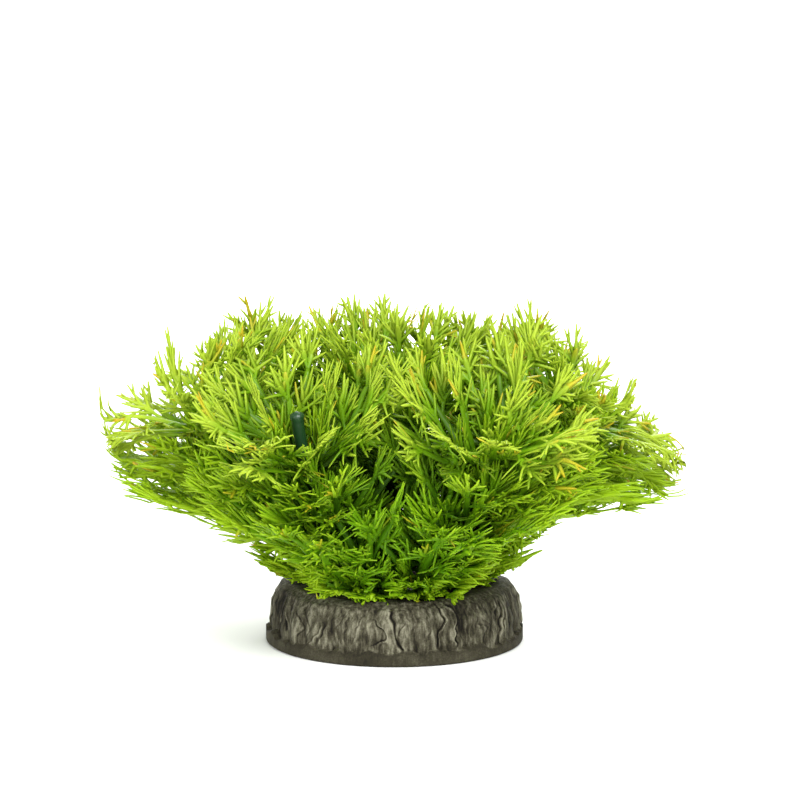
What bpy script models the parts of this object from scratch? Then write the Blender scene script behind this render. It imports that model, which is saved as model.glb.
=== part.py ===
"""An artificial java moss: flat moulded fronds on upright tubes, set in a round weighted base.

Metres, +Z up. The origin is the centre of the base's flat underside, and the front faces -Y.

The bush is laid out in a plain space first. There every stem is an upright line on a hexagonal
grid of spots, a frond is a sheet that rises away from its stem inside its own hexagonal cell,
and height runs from 0 at the base's top to 1 at the bush's surface. One smooth rule, bush_place,
then spreads that space into the real bush, so fronds that are apart in the plain space stay
apart in the real one.
"""

import math
from typing import NamedTuple

import bpy
import numpy as np

# The bush
BUSH_WIDTH = 0.250
BUSH_DEPTH = 0.178
CROWN_HEIGHT = 0.143
WIDTH_DROP, WIDTH_DROP_POWER = 0.056, 3.3
RIGHT_SAG = 0.19
SIDE_LIFT, RIGHT_LIFT = 1.30, 0.50
DEPTH_DROP, DEPTH_DROP_POWER = 0.040, 2.4
SPREAD_POWER = 2.2
UPRIGHT_START = 0.05

# The base
BASE_DIAMETER = 0.112
BASE_HEIGHT = 0.026
RIM_HEIGHT = 0.0035
PLANTED_DIAMETER = 0.090
RIM_ROUNDING = 0.0010
WALL_INSET = 0.0014
FOLD_DEPTH = 0.0022
FOLD_COUNT = 22
FOLD_SLANT = 3.0
FOLD_WANDER = 0.08
# Broad swells of the wall: waves round the base, slant, phase and share of the folds' depth
SWELLS = ((3, 0.0, 0.7, 0.35), (7, -12.0, 0.0, 0.30))
BASE_SIDES = 88

# The stems
STEM_DIAMETER = 0.0052
STEM_HEAD = 0.61
TALL_STEM, TALL_HEAD = 6, 0.82
CAP_SHARE = 0.03
SOCKET_DEPTH = 0.008
SOCKET_SIDES = 8
STEM_SIDES = 6
STEM_STATIONS = (0.0, 0.10, 0.22, 0.36, 0.50)
CAP_SWELL = 1.25
CAP_CLOSE = 0.8
FOOT_SPACING = 0.026
OUTER_STEMS = 6
STEM_TURN = 360 / OUTER_STEMS
CELL_RADIUS = 0.5


class Tier(NamedTuple):
    """A tier of fronds: where it starts and ends, as shares of the bush's height, and how far out.

    A seat of 0 puts the root against the stem's side. Any other is a place in the base, that far
    from the stem. Width is how far the side branches reach, and stalk is how much wider the stalk's
    foot is than the rest of the rib. Roll turns the sheets of the fronds that point sideways to face
    the front, in degrees.
    """

    root: float
    tip: float
    seat: float
    reach: float
    width: float
    stalk: float
    roll: float


TIERS = {
    "crown": Tier(root=0.56, tip=1.0, seat=0.0, reach=0.50, width=0.72, stalk=1.0, roll=35.0),
    "mid": Tier(root=0.25, tip=0.74, seat=0.0, reach=0.50, width=0.68, stalk=1.0, roll=20.0),
    "low": Tier(root=0.012, tip=0.54, seat=0.30, reach=0.55, width=0.66, stalk=1.6, roll=45.0),
}
# The way each tier's fronds turn on their stem, in degrees from the way that the stem leans
CENTRE_TURNS = {"crown": (60, 180, 300), "mid": (0, 120, 240), "low": ()}
OUTER_TURNS = {"crown": (0, 120, 240), "mid": (55, 305), "low": (0, 72, 288)}
BACK_TURNS = {"crown": (0, 120, 240), "mid": (55, 305), "low": (50, 310)}
BACK_STEMS = (3, 4)
CENTRE_FACING = 270

# How far single fronds stray from the rule
GROUP_PLAY = 8.0
TURN_PLAY = 5.0
ROOT_PLAY = 0.02
TIP_PLAY = 0.02
ROLL_PLAY = 18.0
ROLLED_FROM = 0.5
LEAST_RISE = 0.10
PLAY_SEED = 4
ROLL_LIFT = 0.65
# How much shorter branches get that hang below the bush's wings
HANG_CUT = 0.55

# One frond, with lengths as shares of its own length
SHEET_THICKNESS = 0.0014
SEAT_CLEARANCE = 0.0016
SEAT_STEP = 0.01
RIB_HALF_WIDTHS = (0.050, 0.030)
RIB_STATIONS = (0.0, 0.22, 0.32, 0.44, 0.54, 0.66, 0.75)
STAGGER = 0.035
BRANCH_LENGTHS = (0.52, 0.46, 0.34)
BRANCH_FINGERS = (3, 3, 2)
BRANCH_ANGLES = (66.0, 50.0)
FAN_SPREAD = 14.0
VALLEY_SHARE = 0.32
SIDE_FINGER_SHARE = 0.86
END_FINGERS = ((0.95, -0.11), (0.84, -0.02), (1.0, 0.0), (0.84, 0.02), (0.95, 0.11))
CURL = 0.30
LIFT = 0.15

# Between pieces that touch, and how far a cutter stands out of what it cuts
GAP = 0.0003
CUTTER_OVER = 0.002
# Edges sharper than this stay sharp on a piece that is shaded smooth, in degrees
SHARP_ANGLE = 50

COLOURS = {
    "base": (0.130, 0.110, 0.075),
    "stem": (0.020, 0.075, 0.010),
    "crown": (0.380, 0.600, 0.030),
    "mid": (0.200, 0.430, 0.020),
    "low": (0.110, 0.290, 0.015),
}
ROUGHNESS = {"base": 0.85, "stem": 0.45, "crown": 0.38, "mid": 0.38, "low": 0.38}


def clear_scene():
    """Removes every object that the scene starts with."""
    for obj in list(bpy.data.objects):
        bpy.data.objects.remove(obj, do_unlink=True)


def material(name):
    """A Principled material with the part's colour, roughness and metallic value."""
    made = bpy.data.materials.new(name)
    made.use_nodes = True
    shader = made.node_tree.nodes["Principled BSDF"]
    shader.inputs["Base Color"].default_value = (*COLOURS[name], 1.0)
    shader.inputs["Roughness"].default_value = ROUGHNESS[name]
    shader.inputs["Metallic"].default_value = 0.0
    made.diffuse_color = (*COLOURS[name], 1.0)
    return made


def spread(height):
    """How far the bush has opened at a height from 0 to 1: upright at first, then fast, then upright."""
    eased = height * height * (1 + UPRIGHT_START) / (height + UPRIGHT_START)
    return 1 - (1 - np.clip(eased, 0, 1)) ** SPREAD_POWER


def bush_place(across, along, height):
    """The real place of a point of the plain space, whose stems stand one unit apart."""
    widest_x = 1 + CELL_RADIUS
    widest_y = math.sin(math.radians(STEM_TURN)) + CELL_RADIUS
    opened = spread(height)
    scale_x = FOOT_SPACING + (BUSH_WIDTH / 2 / widest_x - FOOT_SPACING) * opened
    scale_y = FOOT_SPACING + (BUSH_DEPTH / 2 / widest_y - FOOT_SPACING) * opened
    sideways = np.clip(across / widest_x, -1, 1)
    drop = WIDTH_DROP * (1 + RIGHT_SAG * sideways) * np.abs(sideways) ** WIDTH_DROP_POWER
    drop = drop + DEPTH_DROP * np.abs(along / widest_y) ** DEPTH_DROP_POWER
    rise = CROWN_HEIGHT - BASE_HEIGHT - drop
    lift = SIDE_LIFT * (1 + RIGHT_LIFT * sideways) * sideways**2
    height = height * (1 + lift * (1 - np.clip(height, 0, 1)) ** 2)
    return np.stack([across * scale_x, along * scale_y, BASE_HEIGHT + rise * height], axis=-1)


def stem_spots():
    """The stems' places in the plain space: one in the middle and six round it."""
    spots = [(0.0, 0.0)]
    for number in range(OUTER_STEMS):
        turn = math.radians(STEM_TURN * number)
        spots.append((math.cos(turn), math.sin(turn)))
    return spots


def object_from(name, points, faces, finish):
    """A named object with these points and faces."""
    mesh = bpy.data.meshes.new(name)
    mesh.from_pydata([tuple(point) for point in points], [], faces)
    obj = bpy.data.objects.new(name, mesh)
    obj.data.materials.append(finish)
    bpy.context.scene.collection.objects.link(obj)
    return obj


def lofted(rings):
    """Faces of a closed tube through rings that have the same number of points."""
    sides = len(rings[0])
    faces = [tuple(reversed(range(sides)))]
    for ring in range(len(rings) - 1):
        for side in range(sides):
            low = ring * sides + side
            low_next = ring * sides + (side + 1) % sides
            faces.append((low, low_next, low_next + sides, low + sides))
    last = (len(rings) - 1) * sides
    faces.append(tuple(range(last, last + sides)))
    return [point for ring in rings for point in ring], faces


def fold(turn, height):
    """How far the carved wall stands out at this angle: slanted folds with a sharp crease between."""
    slant = turn + FOLD_SLANT * height + FOLD_WANDER * math.sin(5 * turn)
    reach = abs(math.sin(FOLD_COUNT / 2 * slant)) - 1
    for waves, lean, phase, share in SWELLS:
        reach += share * math.sin(waves * turn + lean * height + phase)
    return reach


def base_profile():
    """(height, radius, share of the folds) up the base's outer side."""
    rim = BASE_DIAMETER / 2
    wall = rim - WALL_INSET
    flat = PLANTED_DIAMETER / 2
    return (
        (0.0, rim - RIM_ROUNDING, 0.0),
        (RIM_ROUNDING, rim, 0.0),
        (RIM_HEIGHT, rim, 0.0),
        (RIM_HEIGHT + RIM_ROUNDING, wall, 0.6),
        (0.4 * BASE_HEIGHT, wall, 1.0),
        (0.7 * BASE_HEIGHT, wall - 0.1 * (wall - flat), 1.0),
        (0.9 * BASE_HEIGHT, wall - 0.4 * (wall - flat), 0.8),
        (BASE_HEIGHT, flat, 0.0),
    )


def build_base(finish):
    """The cast base: a turned body with carved folds and a socket for each stem."""
    rings = []
    for height, radius, folded in base_profile():
        ring = []
        for side in range(BASE_SIDES):
            turn = math.tau * side / BASE_SIDES
            reach = radius + FOLD_DEPTH * folded * fold(turn, height)
            ring.append((reach * math.cos(turn), reach * math.sin(turn), height))
        rings.append(ring)
    points, faces = lofted(rings)
    base = object_from("base", points, faces, finish)
    clear = (STEM_DIAMETER / 2 + GAP) / math.cos(math.pi / SOCKET_SIDES)
    for number, (across, along) in enumerate(stem_spots(), start=1):
        x, y, _ = bush_place(across, along, 0.0)
        rings = []
        for height in (BASE_HEIGHT - SOCKET_DEPTH, BASE_HEIGHT + CUTTER_OVER):
            turns = [math.tau * (side + 0.5) / SOCKET_SIDES for side in range(SOCKET_SIDES)]
            rings.append([(x + clear * math.cos(t), y + clear * math.sin(t), height) for t in turns])
        points, faces = lofted(rings)
        cutter = object_from(f"socket_cutter_{number}", points, faces, finish)
        cutter.hide_render = True
        cutter.display_type = "WIRE"
        socket = base.modifiers.new(f"socket_{number}", "BOOLEAN")
        socket.operation = "DIFFERENCE"
        socket.object = cutter
    return base


def stem_path(spot, head):
    """The middle line of a stem: straight out of its socket, then along the bush's own spread."""
    heights = np.array([*STEM_STATIONS, *np.linspace(STEM_STATIONS[-1], head - CAP_SHARE, 3)[1:], head])
    path = bush_place(spot[0] + 0 * heights, spot[1] + 0 * heights, heights)
    foot = path[0] - np.array([0.0, 0.0, SOCKET_DEPTH - GAP])
    return np.vstack([foot, path])


def build_stem(number, spot, finish):
    """One tube, with a small cap at its head."""
    path = stem_path(spot, TALL_HEAD if number == TALL_STEM else STEM_HEAD)
    widths = np.full(len(path), STEM_DIAMETER / 2)
    widths[-2] *= CAP_SWELL
    widths[-1] *= CAP_CLOSE
    rings = []
    for index, point in enumerate(path):
        before = path[max(index - 1, 0)]
        after = path[min(index + 1, len(path) - 1)]
        run = after - before if index > 1 else np.array([0.0, 0.0, 1.0])
        run = run / np.linalg.norm(run)
        side = np.cross([0.0, 1.0, 0.0], run)
        side = side / np.linalg.norm(side)
        front = np.cross(run, side)
        turns = [math.tau * k / STEM_SIDES for k in range(STEM_SIDES)]
        rings.append([point + widths[index] * (math.cos(t) * side + math.sin(t) * front) for t in turns])
    points, faces = lofted(rings)
    stem = object_from(f"stem_{number}", points, faces, finish)
    stem.data.shade_smooth()
    stem.data.set_sharp_from_angle(angle=math.radians(SHARP_ANGLE))
    return stem


def branch_outline(start, end, side, level):
    """The tips and valleys of one side branch in turn, from the root's side to the tip's side."""
    middle = (start + end) / 2
    steep, flat = BRANCH_ANGLES
    lean = steep + (flat - steep) * level / (len(BRANCH_LENGTHS) - 1)
    last = 2 * BRANCH_FINGERS[level] - 2
    outline = []
    for step in range(last + 1):
        angle = math.radians(lean + FAN_SPREAD * (1 - 2 * step / last))
        share = VALLEY_SHARE if step % 2 else 1.0
        if step in (0, last):
            share = SIDE_FINGER_SHARE
        reach = BRANCH_LENGTHS[level] * share
        outline.append(middle + reach * np.array([math.cos(angle), side * math.sin(angle)]))
    return outline


def frond_plan():
    """A flat frond, as points (along, across, lift), a set of its tips, and its triangles.

    Lift says how far a point bends out of the sheet: side branches bend to either face in turn.
    """
    points, tips, triangles = [], set(), []

    def add(place, lift=0.0):
        points.append((place[0], place[1], lift))
        return len(points) - 1

    def add_fan(outline, first, last, lift, turned):
        """Fingers and the web that joins them, on the edge from point first to point last."""
        ring = []
        for step, place in enumerate(outline):
            ring.append(add(place, lift if step % 2 == 0 else lift / 2))
        tips.update(ring[::2])
        rim = [first] + ring[1::2] + [last]
        fan = [(low, tip, high) for low, tip, high in zip(rim, ring[::2], rim[1:])]
        fan += [(rim[step], rim[step + 1], last) for step in range(len(rim) - 2)]
        triangles.extend(tuple(reversed(each)) if turned else each for each in fan)

    ends = len(RIB_STATIONS) - 1
    rails = {}
    for side in (1, -1):
        rails[side] = []
        for index, station in enumerate(RIB_STATIONS):
            width = RIB_HALF_WIDTHS[0] + (RIB_HALF_WIDTHS[1] - RIB_HALF_WIDTHS[0]) * station
            shift = side * STAGGER if 0 < index < ends else 0.0
            rails[side].append(add((station + shift, side * width)))
    left, right = rails[1], rails[-1]
    for index in range(ends):
        triangles.append((left[index], right[index], right[index + 1]))
        triangles.append((left[index], right[index + 1], left[index + 1]))
    for side in (1, -1):
        for level in range(len(BRANCH_LENGTHS)):
            first, last = rails[side][2 * level + 1], rails[side][2 * level + 2]
            start, end = np.array(points[first][:2]), np.array(points[last][:2])
            lift = 1.0 if (level + (side > 0)) % 2 else -1.0
            add_fan(branch_outline(start, end, side, level), first, last, lift, side > 0)
    add_fan(END_FINGERS, right[ends], left[ends], 0.0, False)
    return np.array(points), tips, triangles


def frond_seat(spot, turn, height):
    """How far from its stem's middle line a frond starts, in the plain space's units."""
    step = SEAT_STEP
    here = bush_place(spot[0], spot[1], height)
    out = bush_place(spot[0] + step * math.cos(turn), spot[1] + step * math.sin(turn), height)
    unit = np.linalg.norm((out - here)[:2]) / step
    return (STEM_DIAMETER / 2 + SEAT_CLEARANCE) / unit


def build_frond(name, spot, turn, tier, seed, finish):
    """One moulded frond, from its seat on the stem or in the base to its tips."""
    draws = np.random.default_rng(seed).uniform(-1, 1, 4)
    turn = math.radians(turn + TURN_PLAY * draws[0])
    root = tier.root + ROOT_PLAY * draws[1] * (tier.seat == 0.0)
    tip = tier.tip + TIP_PLAY * (draws[2] - 1)
    seat = tier.seat or frond_seat(spot, turn, root)
    plan, tips, triangles = frond_plan()
    along, across, lift = plan.T
    foot = np.clip(1 - along / RIB_STATIONS[1], 0, 1)
    out = seat + (tier.reach - seat) * along
    side = tier.width * across * (1 + (tier.stalk - 1) * foot)
    roll = math.radians(ROLL_PLAY * draws[3] + tier.roll * math.cos(turn))
    wing = min(1.0, abs(spot[0] + tier.reach * math.cos(turn)) / (1 + CELL_RADIUS))
    hanging = np.maximum(-np.sign(across) * math.sin(roll), 0)
    side = side * (1 - HANG_CUT * wing**2 * hanging)
    roll = roll * np.clip(along / ROLLED_FROM, 0, 1)
    height = root + (tip - root) * along * (1 - CURL + CURL * along)
    height = height + ROLL_LIFT * side * np.sin(roll) + LIFT * lift * np.abs(across) * along
    height = np.maximum(height, root + LEAST_RISE * along)
    side = side * np.cos(roll)
    sheet = bush_place(
        spot[0] + out * math.cos(turn) - side * math.sin(turn),
        spot[1] + out * math.sin(turn) + side * math.cos(turn),
        height,
    )
    made, faces = solid_from_sheet(sheet, tips, triangles, SHEET_THICKNESS)
    return object_from(name, made, faces, finish)


def solid_from_sheet(points, tips, triangles, thickness):
    """Points and faces of a sheet given its thickness, closed round its rim and sharp at its tips."""
    normals = np.zeros_like(points)
    for a, b, c in triangles:
        face = np.cross(points[b] - points[a], points[c] - points[a])
        for corner in (a, b, c):
            normals[corner] += face
    normals /= np.linalg.norm(normals, axis=1)[:, None]
    made, top, bottom = [], [], []
    for index, (point, normal) in enumerate(zip(points, normals)):
        half = 0.0 if index in tips else thickness / 2
        top.append(len(made))
        made.append(point + normal * half)
        if half:
            made.append(point - normal * half)
        bottom.append(len(made) - 1)
    edges = {(each[k], each[(k + 1) % 3]) for each in triangles for k in range(3)}
    faces = [tuple(top[corner] for corner in each) for each in triangles]
    faces += [tuple(bottom[corner] for corner in reversed(each)) for each in triangles]
    for a, b in sorted(edges):
        if (b, a) not in edges:
            faces.append(tuple(dict.fromkeys((top[b], top[a], bottom[a], bottom[b]))))
    return made, faces


def group_turns(number):
    """The way that a stem's group of fronds faces, and the turns of each tier's fronds from it."""
    stray = GROUP_PLAY * np.random.default_rng((PLAY_SEED, number)).uniform(-1, 1)
    if number == 1:
        return CENTRE_FACING + stray, CENTRE_TURNS
    facing = STEM_TURN * (number - 2) + stray
    return facing, BACK_TURNS if number in BACK_STEMS else OUTER_TURNS


def main():
    """Builds the base, then each stem with its fronds."""
    clear_scene()
    finishes = {name: material(name) for name in COLOURS}
    build_base(finishes["base"])
    for number, spot in enumerate(stem_spots(), start=1):
        build_stem(number, spot, finishes["stem"])
        facing, turns = group_turns(number)
        for order, (tier_name, tier) in enumerate(TIERS.items()):
            for count, turn in enumerate(turns[tier_name], start=1):
                name = f"frond_{number}_{tier_name}_{count}"
                seed = (PLAY_SEED, number, order, count)
                build_frond(name, spot, facing + turn, tier, seed, finishes[tier_name])


main()
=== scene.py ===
"""The looks of an artificial java moss: dressed fronds, tubes and a carved base on their frame.

Metres, +Z up, in the frame's own place. Every frond of the frame is a sheet bent inside one bush.
Here each sheet carries a finely fingered blade with smaller sprays beside it, every one of them a
flattened section carried along worked-out paths.
"""

import logging
import math
from dataclasses import dataclass, field
from enum import Enum
from typing import Sequence

import bpy
import numpy as np
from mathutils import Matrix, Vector

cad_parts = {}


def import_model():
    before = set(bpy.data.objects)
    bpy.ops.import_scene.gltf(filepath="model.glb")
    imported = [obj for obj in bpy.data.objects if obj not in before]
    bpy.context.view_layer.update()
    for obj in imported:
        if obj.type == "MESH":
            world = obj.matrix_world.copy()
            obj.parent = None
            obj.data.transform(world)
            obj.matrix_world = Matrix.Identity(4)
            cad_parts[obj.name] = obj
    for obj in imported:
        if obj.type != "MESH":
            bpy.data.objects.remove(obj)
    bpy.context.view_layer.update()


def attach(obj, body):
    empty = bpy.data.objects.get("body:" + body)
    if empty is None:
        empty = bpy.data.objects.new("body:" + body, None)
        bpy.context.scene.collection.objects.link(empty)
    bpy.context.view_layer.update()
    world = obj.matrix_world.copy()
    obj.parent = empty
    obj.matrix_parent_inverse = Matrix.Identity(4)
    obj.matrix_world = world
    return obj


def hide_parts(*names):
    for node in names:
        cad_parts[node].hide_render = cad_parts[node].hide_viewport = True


BODY = "root"

Colour = tuple[float, float, float]
Point = tuple[float, float, float]
Spot = tuple[float, float]

log = logging.getLogger("java_moss")


class TierName(Enum):
    """The three tiers of fronds, from the bush's surface down to its foot."""

    CROWN = "crown"
    MID = "mid"
    LOW = "low"


@dataclass(frozen=True)
class Bush:
    """How the plain layout space opens into the real bush.

    In the plain space the stems stand one unit apart, and the height is 0 at the base's top and 1
    at the bush's surface. Sizes are in metres, and the rest are shares and powers.
    """

    width: float = 0.250
    depth: float = 0.178
    crown_height: float = 0.143
    base_height: float = 0.026
    width_drop: float = 0.056
    width_power: float = 3.3
    right_sag: float = 0.19
    side_lift: float = 1.30
    right_lift: float = 0.50
    depth_drop: float = 0.040
    depth_power: float = 2.4
    spread_power: float = 2.2
    upright_start: float = 0.05
    foot_spacing: float = 0.026
    cell_radius: float = 0.5
    outer_stems: int = 6
    # face_share, wing_light and wing_start shape the painted shade deep in the bush and the painted
    # light along its wings
    face_share: float = 0.72
    wing_light: float = 0.95
    wing_start: float = 0.65
    overhang: float = 0.0025
    free_layout: float = 0.92
    free_width: float = 0.975
    free_depth: float = 0.97
    free_height: float = 0.96

    @property
    def widest_x(self) -> float:
        """The plain space's half width: the outermost stem and its cell's radius."""
        return 1 + self.cell_radius

    @property
    def widest_y(self) -> float:
        """The plain space's half depth, likewise."""
        return math.sin(math.tau / self.outer_stems) + self.cell_radius

    def spread(self, height: np.ndarray) -> np.ndarray:
        """Share of the full opening at a height: slow at first, then fast, then slow again."""
        eased = height * height * (1 + self.upright_start) / (height + self.upright_start)
        return 1 - (1 - np.clip(eased, 0, 1)) ** self.spread_power

    def place(self, across: np.ndarray, along: np.ndarray, height: np.ndarray) -> np.ndarray:
        """Real points of the plain space.

        The plan is scaled by a width that grows with the spread, and the height by a rise that
        falls off towards the bush's sides as a power of the distance from its middle. There a lift
        that goes by height * (1 - height)^2 also raises the bush's underside.

        Args:
            across: plain X of each point.
            along: plain Y of each point.
            height: plain height of each point.

        Returns:
            The points in metres, with a last axis of three.
        """
        height = np.maximum(height, 0)
        opened = self.spread(height)
        scale_x = self.foot_spacing + (self.width / 2 / self.widest_x - self.foot_spacing) * opened
        scale_y = self.foot_spacing + (self.depth / 2 / self.widest_y - self.foot_spacing) * opened
        sideways = np.clip(across / self.widest_x, -1, 1)
        sag = self.width_drop * (1 + self.right_sag * sideways)
        drop = sag * np.abs(sideways) ** self.width_power
        drop = drop + self.depth_drop * np.abs(along / self.widest_y) ** self.depth_power
        rise = self.crown_height - self.base_height - drop
        lift = self.side_lift * (1 + self.right_lift * sideways) * sideways**2
        height = height * (1 + lift * (1 - np.clip(height, 0, 1)) ** 2)
        x = self.within(across * scale_x, self.width / 2, self.free_layout)
        y = self.within(along * scale_y, self.depth / 2, self.free_layout)
        return np.stack([x, y, self.base_height + rise * height], axis=-1)

    def within(self, place: np.ndarray, limit: float, free_share: float) -> np.ndarray:
        """Places eased back inside a limit: past its free share they follow a hyperbolic tangent.

        Args:
            place: one coordinate of each point.
            limit: how far from zero it may come.
            free_share: the share of the limit below which places stay as they are.

        Returns:
            The eased coordinates.
        """
        free = limit * free_share
        over = np.maximum(np.abs(place) - free, 0) / (limit - free)
        return np.sign(place) * (np.minimum(np.abs(place), free) + (limit - free) * np.tanh(over))

    def keep_in(self, points: np.ndarray) -> np.ndarray:
        """Eases points that stand out at the bush's sides or top back to its box.

        Args:
            points: real points, with a last axis of three.

        Returns:
            The eased points.
        """
        x = self.within(points[..., 0], self.width / 2 + self.overhang, self.free_width)
        y = self.within(points[..., 1], self.depth / 2 + self.overhang, self.free_depth)
        z = self.within(points[..., 2], self.crown_height + 2 * self.overhang, self.free_height)
        return np.stack([x, y, z], axis=-1)

    def way_out(self, across: float, along: float) -> float:
        """How far out a plain point lies: 1 on the oval round the outermost cells."""
        return math.hypot(across / self.widest_x, along / self.widest_y)

    def wing_share(self, across: float) -> float:
        """How far along a wing of the bush a plain X lies: 0 in the middle and 1 at its end."""
        return min(1.0, abs(across) / self.widest_x)

    def outerness(self, plain: np.ndarray) -> np.ndarray:
        """How near the bush's surface plain points are: 0 deep inside and 1 at its wings or top.

        It is the fourth-power mean length of the share of the way out and the share of the way up,
        and a little more along the wings. The plastic turns it into painted shade, darker deep
        inside the bush, and into painted light at its top and, by that extra, along its wings.

        Args:
            plain: points of the plain space, with a last axis of three.

        Returns:
            One share for each point.
        """
        across, along, height = np.moveaxis(plain, -1, 0)
        sideways = across / self.widest_x
        out = np.hypot(sideways, self.face_share * along / self.widest_y)
        # Painted light along the wings: their outer ends count as further out, so their fronds are
        # painted paler
        pale = self.wing_light * np.clip(np.abs(sideways) - self.wing_start, 0, 1)
        return (out**4 + np.clip(height, 0, 1) ** 4) ** 0.25 + pale

    def spots(self) -> list[Spot]:
        """The stems' places in the plain space: one in the middle and six round it."""
        turns = [math.tau * number / self.outer_stems for number in range(self.outer_stems)]
        return [(0.0, 0.0)] + [(math.cos(turn), math.sin(turn)) for turn in turns]


BUSH = Bush()


@dataclass(frozen=True)
class Blade:
    """One bent sheet of the bush: it leaves its root, rises and turns its face as it goes out.

    Every length is in the plain space's units, and angles are in radians.
    """

    spot: Spot
    turn: float
    root: float
    tip: float
    seat: float
    reach: float
    roll: float
    curl: float = 0.30
    rolled_from: float = 0.5
    roll_lift: float = 0.65
    least_rise: float = 0.10

    def plain(self, along: np.ndarray, across: np.ndarray) -> np.ndarray:
        """Plain-space points of the sheet.

        Going out is linear. The height follows along * (1 - curl + curl * along), and rolling the
        sheet about its rib trades width for height by a sine and a cosine.

        Args:
            along: share of the rib's length, 0 at the root and 1 at the tip.
            across: distance from the rib, to its left.

        Returns:
            The points, with a last axis of three.
        """
        out = self.seat + (self.reach - self.seat) * along
        roll = self.roll * np.clip(along / self.rolled_from, 0, 1)
        height = self.root + (self.tip - self.root) * along * (1 - self.curl + self.curl * along)
        height = height + self.roll_lift * across * np.sin(roll)
        height = np.maximum(height, self.root + self.least_rise * along)
        side = across * np.cos(roll)
        x = self.spot[0] + out * math.cos(self.turn) - side * math.sin(self.turn)
        y = self.spot[1] + out * math.sin(self.turn) + side * math.cos(self.turn)
        return np.stack([x, y, height], axis=-1)

    def hanging(self, side: np.ndarray) -> np.ndarray:
        """How far branches on a side (1 or -1) hang below a wing: sine of roll * wing share^2."""
        wing = BUSH.wing_share(self.spot[0] + self.reach * math.cos(self.turn))
        return np.maximum(-side * math.sin(self.roll), 0) * wing**2

    def sheet(self, along: np.ndarray, across: np.ndarray) -> np.ndarray:
        """Real points of the sheet."""
        x, y, height = np.moveaxis(self.plain(along, across), -1, 0)
        return BUSH.place(x, y, height)


@dataclass
class Ruler:
    """Real lengths along and across a blade, so that what lies on it keeps its size in metres."""

    blade: Blade
    stations: int = 40
    overrun: float = 1.35
    step: float = 0.02
    least_scale: float = 0.026
    near: float = 0.0004

    def __post_init__(self) -> None:
        """Measures the rib's length and the sheet's scale across it at every station."""
        self.shares = np.linspace(0.0, self.overrun, self.stations)
        line = self.blade.sheet(self.shares, 0 * self.shares)
        steps = np.linalg.norm(np.diff(line, axis=0), axis=1)
        self.lengths = np.concatenate([[0.0], np.cumsum(steps)])
        left = self.blade.sheet(self.shares, 0 * self.shares + self.step)
        right = self.blade.sheet(self.shares, 0 * self.shares - self.step)
        scales = np.linalg.norm(left - right, axis=1) / (2 * self.step)
        self.scales = np.maximum(scales, self.least_scale)

    @property
    def length(self) -> float:
        """The rib's real length, in metres."""
        return float(np.interp(1.0, self.shares, self.lengths))

    def shares_of(self, x: np.ndarray, y: np.ndarray) -> tuple[np.ndarray, np.ndarray]:
        """Where on the sheet, in its own shares, places x and y metres along and across it lie."""
        along = np.interp(x, self.lengths, self.shares)
        return along, y / np.interp(along, self.shares, self.scales)

    def on_sheet(self, x: np.ndarray, y: np.ndarray) -> np.ndarray:
        """Real points of the sheet, x metres along the rib and y metres across it."""
        return self.blade.sheet(*self.shares_of(x, y))

    def depth(self, flat: np.ndarray) -> np.ndarray:
        """How near the bush's surface flat points lie, from 0 inside to 1: the share of painted
        light, with painted shade inside the bush.
        """
        return BUSH.outerness(self.blade.plain(*self.shares_of(flat[..., 0], flat[..., 1])))

    def carry(self, flat: np.ndarray) -> tuple[np.ndarray, np.ndarray]:
        """Lays flat points (x, y, lift) on the sheet.

        The normal is the cross product of two central differences over the flat plane.

        Args:
            flat: points with a last axis of three, in metres.

        Returns:
            The real points, and the sheet's unit normal at each.
        """
        x, y, lift = np.moveaxis(flat, -1, 0)
        run = self.on_sheet(x + self.near, y) - self.on_sheet(x - self.near, y)
        span = self.on_sheet(x, y + self.near) - self.on_sheet(x, y - self.near)
        normal = unit(np.cross(run, span))
        return BUSH.keep_in(self.on_sheet(x, y) + lift[..., None] * normal), normal


def unit(vectors: np.ndarray) -> np.ndarray:
    """Vectors of length one, along the last axis."""
    return vectors / np.maximum(np.linalg.norm(vectors, axis=-1, keepdims=True), 1e-12)


def band_quads(rings: int, sides: int) -> np.ndarray:
    """Faces between rings of points that lie one after another, closed round each ring.

    Args:
        rings: how many rings there are.
        sides: points in a ring.

    Returns:
        Rings less one, sides and four point numbers, from 0 at the first ring's first point.
    """
    start = np.arange(rings - 1)[:, None] * sides
    first = start + np.arange(sides)
    following = start + (np.arange(sides) + 1) % sides
    return np.stack([first, following, following + sides, first + sides], axis=-1)


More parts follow.
